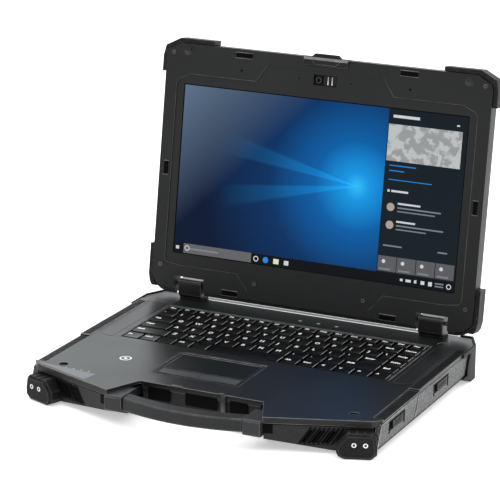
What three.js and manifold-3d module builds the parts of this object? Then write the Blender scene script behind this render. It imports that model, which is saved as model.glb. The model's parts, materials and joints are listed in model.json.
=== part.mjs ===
// Rugged laptop computer with a sliding carry handle, in millimetres.
// X runs to the user's right, Y away from the user, Z up. The base stands on Z = 0.
import * as THREE from 'three';
import { mergeVertices } from 'three/addons/utils/BufferGeometryUtils.js';
import Module from 'manifold-3d';

const wasm = await Module();
wasm.setup();

// ---------------------------------------------------------------- driving sizes
const gap = 0.3; // between fixed neighbours
const slideGap = 0.5; // round anything that moves
const arcSteps = 4; // straight pieces in a quarter round

const palmHeight = 33.5; // palm rest above the floor
const baseHalfWidth = 180.5; // outer faces of the port doors
const baseRear = 14; // rear edge, measured back from the display's foot
const frontCornerY = -245; // where the slanted front edge meets the side
const frontCornerSet = 6.5; // and how far in from the side it is
const noseY = -280; // foremost point of the palm rest, beside the handle
const noseHalfWidth = 80;
const recessY = -244; // rear edge of the handle recess
const recessHalfWidth = 64;
const sideCornerChamfer = 7;
const rearCornerSet = 10.5; // rear corner: how far in from the side
const rearCornerRun = 22; // and how far forward of the rear edge

const coverThickness = 6; // full height of the top cover's lip
const coverPlate = 3; // its plate
const coverSkirt = 3; // width of the lip
const shellFloor = 3.5; // underside of the bottom shell above the floor
const shellWall = 2.6;
const shellInset = 1.5; // front wall behind the lip
const underSlopeStart = -256; // the underside rises from here to the nose
const underSlopeRise = 0.385;

const keyboardHalfWidth = 142;
const keyboardRear = -30;
const keyPitch = 18.8;
const functionPitch = 14; // front-to-back size of the top row of keys
const keyGap = 1.8;
const keyHeight = 3.6;
const keyWeb = 0.8; // thin strip that joins the keys of one row
const keyWebHalfWidth = 2;
const keyTravel = 1.8;
const keyProud = 0.2;

const touchpadLeft = -62;
const touchpadRight = 21;
const touchpadRear = -157;
const touchpadFront = -199;
const touchButtonFront = -214;
const touchpadDepth = 0.8; // surface below the palm rest
const touchpadThickness = 2;
const touchRim = 5; // margin of the shallow frame round the touchpad
const touchRimDepth = 0.6;

const doorThickness = 5.5;
const doorDrop = 24; // lower edge below the palm rest
const doorLean = 10; // how far the end edges lean forward at the foot
const doorSwing = 0.9; // room over the door for its top edge to swing out
const doorAxisInset = 1.5; // hinge line in from the outer face
const doorAxisRise = 1.4; // and above the lower edge
const frontDoorRange = [-240, -152.3];
const rearDoorRange = [-150, -21.5];
const doorPullDepth = 3;
const doorPullTravel = 8;
const portBayMargin = 12;

const gripDrop = 4; // below the palm rest
const gripHeight = 13;
const gripBow = 10; // how far the grip bows out at its centre
const gripDepth = 15;
const handleEndInner = 62;
const handleEndOuter = 80;
const handleEndFront = -285;
const handleEndLength = 30;
const handleEndDrop = 3.4; // below the palm rest
const handleEndHeight = 15.4;
const handleArmLength = 42;
const handleTravel = 22;

const hingeAxisY = 6.8;
const hingeAxisHeight = 13.5; // above the palm rest
const lidOpening = 98.6; // degrees from closed, as stored
const lidFaceOffset = 11.9; // front face ahead of the hinge axis
const lidThickness = 15;
const lidFoot = -8.6; // lower edge, from the axis up the lid
const lidTop = 248.9;
const lidHalfWidth = 177;
const bezelThickness = 3;
const bezelFoot = -4.8;
const displayFoot = 33.4;
const displayHalfWidth = 154.7;
const displayHeight = 174;
const displayDepth = 1.4; // glass behind the bezel's front face
const displayFlange = 2.4;
const knuckleInner = 120;
const knuckleOuter = 146;
const notchInner = 117.5;
const notchOuter = 151;
const notchTop = 8.9;
const notchRadius = 14.8;
const pinRadius = 2;
const pinClearance = 0.3;

const bumperThickness = 5;
const bumperBackLip = 2;
const bumperBackReach = 9;
const cameraHalfWidth = 12;
const cameraFoot = 221.6;
const cameraHeight = 10;
const latchHalfWidth = 24.5;
const latchFoot = 240.4;
const latchHeight = 8.3;
const fanRadius = 24;

// ---------------------------------------------------------------- derived sizes
const coverTop = palmHeight;
const coverFoot = coverTop - coverThickness;
const plateFoot = coverTop - coverPlate;
const shellTop = coverFoot - gap;
const doorTop = plateFoot - doorSwing;
const doorFoot = palmHeight - doorDrop;
const shellSideHalfWidth = baseHalfWidth - doorThickness - 2 * gap; // side wall behind the doors
const keyboardDepth = functionPitch + 5 * keyPitch;
const frontCornerHalfWidth = baseHalfWidth - frontCornerSet;
const gripTop = palmHeight - gripDrop;
const handleEndTop = palmHeight - handleEndDrop;
const axisZ = palmHeight + hingeAxisHeight;
const lidBack = lidFaceOffset - lidThickness;
const bezelBack = lidFaceOffset - bezelThickness;

// ---------------------------------------------------------------- shape helpers
function shapeOf(points, holes = []) {
  const shape = new THREE.Shape(points.map(([a, b]) => new THREE.Vector2(a, b)));
  for (const hole of holes) {
    shape.holes.push(new THREE.Path(hole.map(([a, b]) => new THREE.Vector2(a, b))));
  }
  return shape;
}

function extrude(points, depth, holes) {
  return new THREE.ExtrudeGeometry(shapeOf(points, holes), { depth, bevelEnabled: false });
}

// Prism with its outline seen from above.
function prismZ(points, z0, z1, holes) {
  return extrude(points, z1 - z0, holes).translate(0, 0, z0);
}

// Prism with its (y, z) outline seen from the right side.
function prismX(points, x0, x1) {
  const cyclic = new THREE.Matrix4().set(0, 0, 1, 0, 1, 0, 0, 0, 0, 1, 0, 0, 0, 0, 0, 1);
  return extrude(points, x1 - x0).applyMatrix4(cyclic).translate(x0, 0, 0);
}

// Prism with its (x, z) outline seen from the front.
function prismY(points, y0, y1) {
  return extrude(points, y1 - y0).rotateX(Math.PI / 2).translate(0, y1, 0);
}

function block(x0, x1, y0, y1, z0, z1) {
  const box = new THREE.BoxGeometry(x1 - x0, y1 - y0, z1 - z0);
  return box.translate((x0 + x1) / 2, (y0 + y1) / 2, (z0 + z1) / 2);
}

// Block between two distances from the centre line, on one side of it.
function sideBlock(side, near, far, y0, y1, z0, z1) {
  return block(Math.min(side * near, side * far), Math.max(side * near, side * far), y0, y1, z0, z1);
}

function rodX(radius, x0, x1, sides = 20) {
  const rod = new THREE.CylinderGeometry(radius, radius, x1 - x0, sides);
  return rod.rotateZ(Math.PI / 2).translate((x0 + x1) / 2, 0, 0);
}

function discZ(radius, z0, z1, sides = 24) {
  return new THREE.CylinderGeometry(radius, radius, z1 - z0, sides).rotateX(Math.PI / 2)
    .translate(0, 0, (z0 + z1) / 2);
}

function arc(cx, cy, radius, fromDegrees, toDegrees, steps = arcSteps) {
  const points = [];
  for (let i = 0; i <= steps; i++) {
    const turn = THREE.MathUtils.degToRad(fromDegrees + ((toDegrees - fromDegrees) * i) / steps);
    points.push([cx + radius * Math.cos(turn), cy + radius * Math.sin(turn)]);
  }
  return points;
}

function roundedRect(x0, x1, y0, y1, radius) {
  return [
    ...arc(x1 - radius, y1 - radius, radius, 0, 90),
    ...arc(x0 + radius, y1 - radius, radius, 90, 180),
    ...arc(x0 + radius, y0 + radius, radius, 180, 270),
    ...arc(x1 - radius, y0 + radius, radius, 270, 360),
  ];
}

// A right half, listed from rear to front, mirrored into a whole outline.
function bothHalves(half) {
  return [...half, ...half.map(([x, y]) => [-x, y]).reverse()];
}

const flipX = (points, side) => points.map(([x, y]) => [side * x, y]);

function toSolid(geometry) {
  const bare = geometry.clone();
  bare.deleteAttribute('normal');
  bare.deleteAttribute('uv');
  const merged = mergeVertices(bare, 1e-4);
  const mesh = new wasm.Mesh({
    numProp: 3,
    vertProperties: Float32Array.from(merged.attributes.position.array),
    triVerts: Uint32Array.from(merged.index.array),
  });
  return new wasm.Manifold(mesh);
}

function toGeometry(solid) {
  const mesh = solid.getMesh();
  const geometry = new THREE.BufferGeometry();
  geometry.setAttribute('position', new THREE.BufferAttribute(mesh.vertProperties, 3));
  geometry.setIndex(new THREE.BufferAttribute(mesh.triVerts, 1));
  return geometry;
}

function join(...geometries) {
  return toGeometry(geometries.map(toSolid).reduce((all, one) => all.add(one)));
}

function cut(body, ...tools) {
  return toGeometry(tools.map(toSolid).reduce((left, tool) => left.subtract(tool), toSolid(body)));
}

// ---------------------------------------------------------------- materials
const finish = (color, roughness, metalness = 0) => ({ color, roughness, metalness });
const looks = {
  plastic: finish(0x26282b, 0.55),
  lidPlastic: finish(0x2b2c2f, 0.5),
  rubber: finish(0x121314, 0.8),
  door: finish(0x4a4d50, 0.6),
  key: finish(0x08090a, 0.25),
  board: finish(0x14472c, 0.6),
  metal: finish(0xb8bbbf, 0.3, 1),
  darkMetal: finish(0x3a3c3f, 0.4, 1),
  battery: finish(0x1c1d22, 0.6),
  glass: finish(0x0b2f66, 0.15),
  lens: finish(0x050608, 0.1),
};

const laptop = new THREE.Group();
laptop.name = 'laptop';
const lid = new THREE.Group();
lid.position.set(0, hingeAxisY, axisZ);
lid.rotation.x = THREE.MathUtils.degToRad(180 - lidOpening);
laptop.add(lid);

function place(group, name, geometry, look, x = 0, y = 0, z = 0) {
  const mesh = new THREE.Mesh(geometry, new THREE.MeshStandardMaterial(looks[look]));
  mesh.name = name;
  mesh.position.set(x, y, z);
  group.add(mesh);
  return mesh;
}

const sides = [['left', -1], ['right', 1]];

// ---------------------------------------------------------------- base outlines
// Plan of the base, drawn in by a given distance from the top cover's edge.
function baseOutline(inset, sideX, rearInset = inset) {
  const lean = (noseHalfWidth - recessHalfWidth) / (recessY - noseY);
  const front = frontCornerY + inset;
  return bothHalves([
    [sideX - rearCornerSet, baseRear - rearInset],
    [sideX, baseRear - rearInset - rearCornerRun],
    [sideX, front + sideCornerChamfer],
    [Math.min(frontCornerHalfWidth, sideX - 1), front],
    [noseHalfWidth + inset * lean, noseY + inset],
    [recessHalfWidth + inset, recessY + inset],
  ]);
}

// ---------------------------------------------------------------- front walls
// The front walls slant back from the nose. Pieces on them are drawn flat, X along the wall from
// the nose and -Y outward, and turned into place.
const frontAngle = Math.atan2(frontCornerY - noseY, frontCornerHalfWidth - noseHalfWidth);

function ontoFrontWall(geometry, side) {
  geometry.rotateZ(side * frontAngle);
  return geometry.translate(side * noseHalfWidth, noseY, 0);
}

// ---------------------------------------------------------------- base bumpers
const frontBumperProud = 12.5; // ahead of the lip
const frontBumperRoot = 6; // behind it, through the shell's wall
const frontBumperDrop = 9; // top below the palm rest
const frontBumperBevel = 2.5;
const frontBumperTop = palmHeight - frontBumperDrop;
const frontWallLength = Math.hypot(frontCornerHalfWidth - noseHalfWidth, frontCornerY - noseY);
const frontBumperMiddle = [-14.3, 12]; // from the wall's outer end, and above the floor
const frontBumperOutline = [
  [-23.3, frontBumperTop], [-0.3, frontBumperTop], [2.9, frontBumperTop - 3], [4.5, 11.5], [4.2, 4.5],
  [-1.3, 0], [-25.3, 0], [-30.8, 2.5], [-33, 6.5], [-32.3, 14.5],
];
const rearBumperOuter = baseHalfWidth + 2;
const rearBumperBand = 1.7; // over the side of the base
const rearBumperRise = 1; // above the palm rest
const rearBumperBack = 3;
const rearBumperFrontReach = 8; // ahead of the rear door's foot
const rearBumperSlant = 30; // where its foot ends, ahead of the rear edge
const heelLength = 4;
const rearFootWidth = 22.5;
const footInner = baseHalfWidth - rearFootWidth;
const footTop = shellFloor - gap;

// Room that a door and its swing need, from the shell's side wall outward.
function doorRoom(side, range, grow) {
  const near = side * (shellSideHalfWidth - 0.1);
  const far = side * (rearBumperOuter + 40);
  const swingTop = doorFoot + doorAxisRise + doorThickness + gap;
  return prismX([
    [range[0] - grow, doorTop + 1], [range[0] - doorLean - grow, swingTop],
    [range[0] - doorLean - grow, doorFoot - gap], [range[1] - 0.6 * doorLean + grow, doorFoot - gap],
    [range[1] - 0.6 * doorLean + grow, swingTop], [range[1] + 1.8 * grow, doorTop + 1],
  ], Math.min(near, far), Math.max(near, far));
}

function frontBumper(side, grow) {
  const size = frontBumperBevel;
  const outline = frontBumperOutline.map(([x, z]) => {
    const outward = new THREE.Vector2(x - frontBumperMiddle[0], z - frontBumperMiddle[1]);
    outward.setLength(1.5 * grow);
    return [side * (frontWallLength + x + outward.x), z + outward.y];
  });
  const solid = new THREE.ExtrudeGeometry(shapeOf(outline), {
    depth: frontBumperProud + frontBumperRoot - 2 * size,
    bevelEnabled: true,
    bevelSize: size,
    bevelThickness: size,
    bevelOffset: -size,
    bevelSegments: 1,
  });
  solid.rotateX(Math.PI / 2).translate(0, frontBumperRoot - size, 0);
  return ontoFrontWall(solid, side);
}

function frontBumperPiece(side) {
  return cut(frontBumper(side, 0), doorRoom(side, frontDoorRange, slideGap));
}

function rearBumper(side) {
  const outerRear = baseRear + rearBumperBack + gap;
  const innerX = rearBumperOuter - rearBumperBand;
  const cornerY = baseRear - rearCornerRun;
  const tall = palmHeight + rearBumperRise;
  const front = rearDoorRange[1] - doorLean - rearBumperFrontReach;
  const band = prismZ(flipX([
    [footInner, outerRear], [rearBumperOuter - rearCornerSet - 1, outerRear], [rearBumperOuter, cornerY + 2],
    [rearBumperOuter, front], [innerX, front], [innerX, cornerY],
    [innerX - rearCornerSet, baseRear + gap], [footInner, baseRear + gap],
  ], side), 0, tall);
  const foot = sideBlock(side, footInner, innerX + 1, front, cornerY + heelLength, 0, footTop);
  const heel = prismZ(flipX([
    [footInner, outerRear], [rearBumperOuter - rearCornerSet - 1, outerRear], [rearBumperOuter, cornerY + 2],
    [rearBumperOuter, cornerY - heelLength], [footInner, cornerY - heelLength],
  ], side), 0, footTop);
  const slant = prismX([
    [front - 1, -1], [baseRear - rearBumperSlant, -1], [front - 1, doorFoot + 0.5],
  ], Math.min(side * 100, side * 200), Math.max(side * 100, side * 200));
  return cut(join(band, foot, heel), doorRoom(side, rearDoorRange, slideGap), slant);
}

for (const [name, side] of sides) {
  place(laptop, `base_front_bumper_${name}`, frontBumperPiece(side), 'rubber');
  place(laptop, `base_rear_bumper_${name}`, rearBumper(side), 'rubber');
}

// ---------------------------------------------------------------- handle channels
const channelNear = handleEndInner - slideGap;
const channelFar = handleEndOuter + slideGap;
const channelFoot = handleEndTop - handleEndHeight - slideGap;
const channelRear = handleEndFront + handleEndLength + handleTravel + 2;

// ---------------------------------------------------------------- bottom shell
const sideLedge = baseHalfWidth - 0.5; // floor of the shell under the doors
const ledgeTop = doorFoot - 0.4;
const ledgeChamfer = 12;
const ventCount = 9;
const ventStart = 58;
const ventPitch = 9;
const ventWidth = 3.4;
const ventFoot = 9.5;
const ventHeight = 13;

function bottomShell() {
  const outline = baseOutline(shellInset, shellSideHalfWidth);
  const inner = baseOutline(shellInset + shellWall, shellSideHalfWidth - shellWall);
  const body = prismZ(outline, shellFloor, shellTop);
  const ledge = prismY([
    [-(sideLedge - ledgeChamfer), shellFloor], [sideLedge - ledgeChamfer, shellFloor],
    [sideLedge, ledgeTop - 1], [sideLedge, ledgeTop], [-sideLedge, ledgeTop], [-sideLedge, ledgeTop - 1],
  ], frontDoorRange[0] - doorLean + 2, baseRear - shellInset - rearCornerRun);
  const hollow = prismZ(inner, shellFloor + shellWall, shellTop + 1);
  const slope = underSlopeStart - (noseY - 10);
  const underCut = (thick) => prismX([
    [noseY - 10, -10], [underSlopeStart, -10], [underSlopeStart, shellFloor + thick],
    [noseY - 10, shellFloor + thick + slope * underSlopeRise],
  ], -baseHalfWidth, baseHalfWidth);
  const floorWedge = toSolid(underCut(shellWall)).intersect(toSolid(prismZ(outline, shellFloor, shellTop)));
  const shell = toSolid(cut(join(body, ledge), hollow));
  const tools = [underCut(0)];
  for (const [, side] of sides) {
    tools.push(frontBumper(side, gap));
    tools.push(sideBlock(side, channelNear, channelFar, noseY - 10, channelRear, channelFoot, shellTop + 1));
    for (const range of [frontDoorRange, rearDoorRange]) {
      tools.push(sideBlock(side, shellSideHalfWidth - shellWall - 1, baseHalfWidth,
        range[0] - doorLean / 2 + portBayMargin, range[1] - doorLean / 2 - portBayMargin,
        doorFoot + 2.4, shellTop - 2));
    }
    tools.push(grilleWindow(side));
  }
  for (let i = 0; i < ventCount; i++) {
    const x = ventStart + i * ventPitch;
    tools.push(block(x, x + ventWidth, baseRear - 6, baseRear + 1, ventFoot, ventFoot + ventHeight));
  }
  return cut(toGeometry(shell.add(floorWedge)), ...tools);
}

// ---------------------------------------------------------------- speaker grilles
const grilleStart = 33; // along the slanted front wall, from the nose
const grilleWidth = 39.5;
const grilleFoot = 8.5;
const grilleHeight = 15;
const grilleLean = 10.5;
const grilleThickness = 2;
const slotCount = 9;
const slotWidth = 2.1;
function slantedPanel(side, start, width, foot, height, lean, y0, y1) {
  return ontoFrontWall(prismY(flipX([
    [start, foot],
    [start + width - lean, foot],
    [start + width, foot + height],
    [start + lean, foot + height],
  ], side), y0, y1), side);
}

function grilleWindow(side) {
  return slantedPanel(side, grilleStart - gap, grilleWidth + 2 * gap, grilleFoot - gap,
    grilleHeight + 2 * gap, grilleLean, -6, shellInset + shellWall + 6);
}

function grille(side) {
  const plate = slantedPanel(side, grilleStart, grilleWidth, grilleFoot, grilleHeight, grilleLean,
    shellInset + 0.4, shellInset + 0.4 + grilleThickness);
  const pitch = (grilleWidth - grilleLean - 2) / slotCount;
  const lean = (grilleLean * (grilleHeight - 3)) / grilleHeight;
  const slots = [];
  for (let i = 0; i < slotCount; i++) {
    slots.push(slantedPanel(side, grilleStart + 2 + i * pitch, slotWidth + lean, grilleFoot + 1.5,
      grilleHeight - 3, lean, -2, 9));
  }
  return cut(plate, ...slots);
}

for (const [name, side] of sides) {
  place(laptop, `speaker_grille_${name}`, grille(side), 'plastic');
}
place(laptop, 'base_bottom_shell', bottomShell(), 'plastic');

// ---------------------------------------------------------------- top cover
const frontStripDrop = 1.4; // side strips beside the palm rest
const rearStripRise = 0.6; // side strips beside the keyboard
const stripWidth = 10.5;
const stripStep = -150;
const padHoleRadius = 4.6;
const padHoleDepth = 2.2;
const padX = 151;
const padUp = 241.9; // round lid pads, from the axis up the lid
const footPocket = 1.5;
const knuckleFront = -1.2;
const knuckleRear = 13.4;
const trimHalfLength = 117;
const trimFront = 6.2;
const trimWidth = 2;
const trimHeight = 1.4;
const powerX = 152;
const powerY = -17;
const powerRadius = 5;

function topCover() {
  const outline = baseOutline(0, baseHalfWidth);
  const hollow = prismZ(baseOutline(coverSkirt, shellSideHalfWidth), coverFoot - 1, plateFoot);
  const touchBlock = block(touchpadLeft - touchRim, touchpadRight + touchRim,
    touchButtonFront - touchRim + 1, touchpadRear + touchRim, coverFoot, plateFoot + 1);
  const strips = sides.map(([, side]) => sideBlock(side, baseHalfWidth - stripWidth, baseHalfWidth,
    stripStep, -20, plateFoot, coverTop + rearStripRise));
  const body = join(cut(prismZ(outline, coverFoot, coverTop), hollow), touchBlock, ...strips);
  const tools = [
    block(-keyboardHalfWidth, keyboardHalfWidth, keyboardRear - keyboardDepth, keyboardRear,
      coverFoot - 1, coverTop + 1),
    block(touchpadLeft - slideGap, touchpadRight + slideGap, touchButtonFront - slideGap,
      touchpadRear + slideGap, coverTop - touchpadDepth - touchpadThickness - gap, coverTop + 1),
    prismZ([
      [touchpadLeft - touchRim + 1, touchButtonFront - 3],
      [touchpadRight + touchRim - 1, touchButtonFront - 3],
      [touchpadRight + touchRim - 1, touchpadRear + touchRim - 1],
      [touchpadLeft + 1, touchpadRear + touchRim - 1],
      [touchpadLeft - touchRim + 1, touchpadRear - 1],
    ], coverTop - touchRimDepth, coverTop + 1),
    block(-trimHalfLength - gap, trimHalfLength + gap, trimFront - gap, trimFront + trimWidth + gap,
      coverTop - trimHeight - gap, coverTop + 1),
  ];
  for (const [, side] of sides) {
    tools.push(sideBlock(side, baseHalfWidth - stripWidth, baseHalfWidth + 1, frontCornerY + 9, stripStep,
      coverTop - frontStripDrop, coverTop + 1));
    tools.push(sideBlock(side, shellSideHalfWidth, baseHalfWidth + 1, frontDoorRange[0] - 2,
      baseRear - rearCornerRun - 4, coverFoot - 1, plateFoot));
    tools.push(discZ(padHoleRadius, coverTop - padHoleDepth, coverTop + 1)
      .translate(side * padX, hingeAxisY - padUp, 0));
    tools.push(sideBlock(side, knuckleInner - gap, knuckleOuter + gap, knuckleFront - gap,
      knuckleRear + gap, coverTop - footPocket - gap, coverTop + 1));
    tools.push(sideBlock(side, channelNear, channelFar, noseY - 10, channelRear, coverFoot - 1, plateFoot));
  }
  tools.push(discZ(powerRadius + slideGap, coverTop - 2.4, coverTop + 1).translate(powerX, powerY, 0));
  return cut(body, ...tools);
}

place(laptop, 'base_top_cover', topCover(), 'plastic');
place(laptop, 'hinge_trim_bar', block(-trimHalfLength, trimHalfLength, trimFront, trimFront + trimWidth,
  coverTop - trimHeight, coverTop), 'metal');
place(laptop, 'power_button', discZ(powerRadius, 0, 1), 'metal', powerX, powerY, coverTop - 1);

// ---------------------------------------------------------------- touchpad
const buttonSplit = (touchpadLeft + touchpadRight) / 2;
const touchTop = coverTop - touchpadDepth;
place(laptop, 'touchpad', block(touchpadLeft, touchpadRight, touchpadFront + slideGap, touchpadRear,
  touchTop - touchpadThickness, touchTop), 'plastic');
place(laptop, 'touch_button_left', block(touchpadLeft, buttonSplit - slideGap / 2, touchButtonFront,
  touchpadFront, touchTop - 0.8, touchTop + 0.1), 'plastic');
place(laptop, 'touch_button_right', block(buttonSplit + slideGap / 2, touchpadRight, touchButtonFront,
  touchpadFront, touchTop - 0.8, touchTop + 0.1), 'plastic');

// ---------------------------------------------------------------- keyboard
const keyTop = coverTop + keyProud;
const keyFoot = keyTop - keyHeight;
const trayTop = keyFoot - keyTravel - slideGap;
const trayThickness = 1.5;
const trayRim = 4;

function keyboardTray() {
  const outer = roundedRect(-keyboardHalfWidth - trayRim, keyboardHalfWidth + trayRim,
    keyboardRear - keyboardDepth - trayRim, keyboardRear + trayRim, 2);
  const tray = prismZ(outer, trayTop - trayThickness, plateFoot - gap);
  const well = block(-keyboardHalfWidth - gap, keyboardHalfWidth + gap,
    keyboardRear - keyboardDepth - gap, keyboardRear + gap, trayTop, coverTop);
  return cut(tray, well);
}

place(laptop, 'keyboard_tray', keyboardTray(), 'plastic');

// One node: keys side by side on a thin web. Widths are in key pitches.
function keyRun(widths, pitch, depth) {
  const total = widths.reduce((sum, width) => sum + width, 0) * pitch;
  const parts = [];
  let x = -total / 2;
  for (const width of widths) {
    const next = x + width * pitch;
    const reach = (depth - keyGap) / 2;
    parts.push(block(x + keyGap / 2, next - keyGap / 2, -reach, reach, 0, keyHeight));
    x = next;
  }
  if (parts.length > 1) {
    parts.push(block(-total / 2 + keyGap, total / 2 - keyGap, -keyWebHalfWidth, keyWebHalfWidth, 0, keyWeb));
  }
  return join(...parts);
}

const repeated = (count) => Array(count).fill(1);
const wellWidth = 2 * keyboardHalfWidth;
const functionCount = 17;
const endPitches = wellWidth / keyPitch - 1; // row length without the right-hand column
const rowY = (row) => keyboardRear - functionPitch - (row - 0.5) * keyPitch;

// Lays named runs from the left edge of the well; each run is [name, widths].
function keyRow(row, runs) {
  let x = -keyboardHalfWidth;
  for (const [name, widths] of runs) {
    const length = widths.reduce((sum, width) => sum + width, 0) * keyPitch;
    if (name) {
      place(laptop, name, keyRun(widths, keyPitch, keyPitch), 'key', x + length / 2, rowY(row), keyFoot);
    }
    x += length;
  }
}

place(laptop, 'function_keys', keyRun(repeated(functionCount), wellWidth / functionCount, functionPitch),
  'key', 0, keyboardRear - functionPitch / 2, keyFoot);
keyRow(1, [['number_keys', repeated(13)], ['backspace_key', [endPitches - 13]]]);
keyRow(2, [['upper_letter_keys', [1.4, ...repeated(12), endPitches - 13.4]]]);
keyRow(3, [['home_letter_keys', [1.7, ...repeated(11)]], ['enter_key', [endPitches - 12.7]]]);
keyRow(4, [['left_shift_key', [2.1]], ['lower_letter_keys', repeated(10)],
  ['right_shift_key', [endPitches - 12.1]]]);
keyRow(5, [['left_modifier_keys', repeated(5)], ['space_bar', [4.1]], ['right_modifier_keys', repeated(2)],
  ['arrow_keys', repeated(3)]]);

// The right-hand column, five keys joined front to back.
function navigationColumn() {
  const parts = [];
  for (let row = 0; row < 5; row++) {
    const y = (row - 2) * keyPitch;
    parts.push(block(-keyPitch / 2 + keyGap / 2, keyPitch / 2 - keyGap / 2,
      y - keyPitch / 2 + keyGap / 2, y + keyPitch / 2 - keyGap / 2, 0, keyHeight));
  }
  parts.push(block(-keyWebHalfWidth, keyWebHalfWidth, -2.2 * keyPitch, 2.2 * keyPitch, 0, keyWeb));
  return join(...parts);
}

const navigationMiddle = keyboardHalfWidth - keyPitch / 2;
place(laptop, 'navigation_keys', navigationColumn(), 'key', navigationMiddle, rowY(3), keyFoot);

// ---------------------------------------------------------------- port doors
const doorInner = baseHalfWidth - doorThickness;
const pullHeight = 7;
const pullRise = 8; // above the door's foot
const pullLength = 24;
const doorAxisX = baseHalfWidth - doorAxisInset;
const doorAxisZ = doorFoot + doorAxisRise;

// Origin on the hinge line, halfway along the door.
function portDoor(side, half) {
  const panel = prismY([
    [side * doorInner, doorFoot + 3], [side * (doorInner + 3), doorFoot],
    [side * (baseHalfWidth - 0.7), doorFoot], [side * baseHalfWidth, doorFoot + 0.7],
    [side * baseHalfWidth, doorTop], [side * doorInner, doorTop],
  ], -half - doorLean, half + doorLean);
  const ends = prismX([
    [-half + doorLean / 2, doorTop + 1], [-half - doorLean / 2, doorFoot - 1],
    [half - doorLean / 2, doorFoot - 1], [half + doorLean / 2, doorTop + 1],
  ], -baseHalfWidth - 1, baseHalfWidth + 1);
  const pocket = sideBlock(side, baseHalfWidth - doorPullDepth - gap, baseHalfWidth + 1,
    -pullLength / 2 - doorPullTravel - slideGap, pullLength / 2 + slideGap,
    doorFoot + pullRise - slideGap, doorFoot + pullRise + pullHeight + slideGap);
  const leaning = toGeometry(toSolid(panel).intersect(toSolid(ends)));
  return cut(leaning, pocket).translate(-side * doorAxisX, 0, -doorAxisZ);
}

for (const [name, side] of sides) {
  for (const [end, range] of [['front', frontDoorRange], ['rear', rearDoorRange]]) {
    const along = (range[0] + range[1] - doorLean) / 2;
    const half = (range[1] - range[0]) / 2;
    place(laptop, `${end}_door_${name}`, portDoor(side, half), 'door', side * doorAxisX, along, doorAxisZ);
    const pull = sideBlock(side, 0, doorPullDepth, -pullLength / 2, pullLength / 2, 0, pullHeight);
    place(laptop, `${end}_door_pull_${name}`, pull, 'plastic',
      side * (baseHalfWidth - doorPullDepth), along, doorFoot + pullRise);
  }
}

// ---------------------------------------------------------------- carry handle
function grip() {
  const half = handleEndInner - gap;
  const front = handleEndFront + 1.5;
  const radius = (half * half + gripBow * gripBow) / (2 * gripBow);
  const reach = THREE.MathUtils.radToDeg(Math.asin(half / radius));
  const outer = arc(0, front - gripBow + radius, radius, 270 - reach, 270 + reach, 12);
  const inner = arc(0, front + gripDepth - gripBow + radius, radius, 270 + reach, 270 - reach, 12);
  return prismZ([...outer, ...inner], gripTop - gripHeight, gripTop);
}

function handleEnd(side) {
  const foot = handleEndTop - handleEndHeight;
  const rear = handleEndFront + handleEndLength;
  const near = Math.min(side * handleEndInner, side * handleEndOuter);
  const head = prismX([
    [handleEndFront, foot + 1], [handleEndFront + 1, foot], [rear, foot], [rear, handleEndTop],
    [handleEndFront + 2, handleEndTop], [handleEndFront, handleEndTop - 1.5],
  ], near, near + handleEndOuter - handleEndInner);
  const arm = sideBlock(side, handleEndInner + 4, handleEndOuter - 4, rear - 1, rear + handleArmLength,
    foot + 3, handleEndTop - 3);
  return join(head, arm);
}

place(laptop, 'handle_grip', grip(), 'rubber');
for (const [name, side] of sides) {
  place(laptop, `handle_end_${name}`, handleEnd(side), 'plastic');
}

// ---------------------------------------------------------------- inside the base
const insideFoot = shellFloor + shellWall + gap;
const boardFoot = insideFoot + 2;
const boardThickness = 1.6;
const boardTop = boardFoot + boardThickness;
const boardHalfWidth = 150;
const boardFront = -138;
const boardRear = -8;
const processor = [-20, 20, -80, -40]; // x and y ranges
const memory = [-100, -40, -120, -90];
const processorHeight = 3;
const memoryHeight = 4;
const largePorts = [[-132, -104], [-70, -46]]; // y ranges of the connectors
const smallPort = [-96, -78];
const portRoot = 10;
const finCount = 10;
const finPitch = 8.8;
const finStart = 58;
const finThickness = 2.4;
const finHeight = 11;
const sinkRange = [56, 140, -28, -10];
const fanX = 96;
const fanY = -62;
const fanHub = 9;
const fanBlades = 9;
const batteryRange = [-57, 57, -236, -150];
const batteryHeight = 17;
const bayInner = shellSideHalfWidth - shellWall - 7;

function mainboard() {
  const root = boardTop - 0.5;
  const portInner = boardHalfWidth - portRoot;
  const ports = sides.flatMap(([, side]) => [
    ...largePorts.map((range) => sideBlock(side, portInner, bayInner, ...range, root, shellTop - 6)),
    sideBlock(side, portInner, bayInner, ...smallPort, root, shellTop - 8),
  ]);
  return join(
    block(-boardHalfWidth, boardHalfWidth, boardFront, boardRear, boardFoot, boardTop),
    block(...processor, root, boardTop + processorHeight),
    block(...memory, root, boardTop + memoryHeight),
    ...ports,
  );
}

function heatSink() {
  const base = block(...sinkRange, boardTop + gap, boardTop + 3);
  const fins = [];
  for (let i = 0; i < finCount; i++) {
    const x = finStart + i * finPitch;
    const end = x + finThickness;
    fins.push(block(x, end, sinkRange[2] + 2, sinkRange[3] - 2, boardTop + 2, boardTop + finHeight));
  }
  return join(base, ...fins);
}

function coolingFan() {
  const parts = [discZ(fanHub, 0, 8, 20)];
  for (let i = 0; i < fanBlades; i++) {
    const blade = block(fanHub - 2, fanRadius, -0.8, 0.8, 1, 7);
    parts.push(blade.rotateZ((i * 2 * Math.PI) / fanBlades));
  }
  return join(...parts);
}

place(laptop, 'mainboard', mainboard(), 'board');
place(laptop, 'heat_sink', heatSink(), 'darkMetal');
place(laptop, 'cooling_fan', coolingFan(), 'plastic', fanX, fanY, boardTop + 1);
place(laptop, 'battery_pack', block(...batteryRange, insideFoot, insideFoot + batteryHeight), 'battery');

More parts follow.
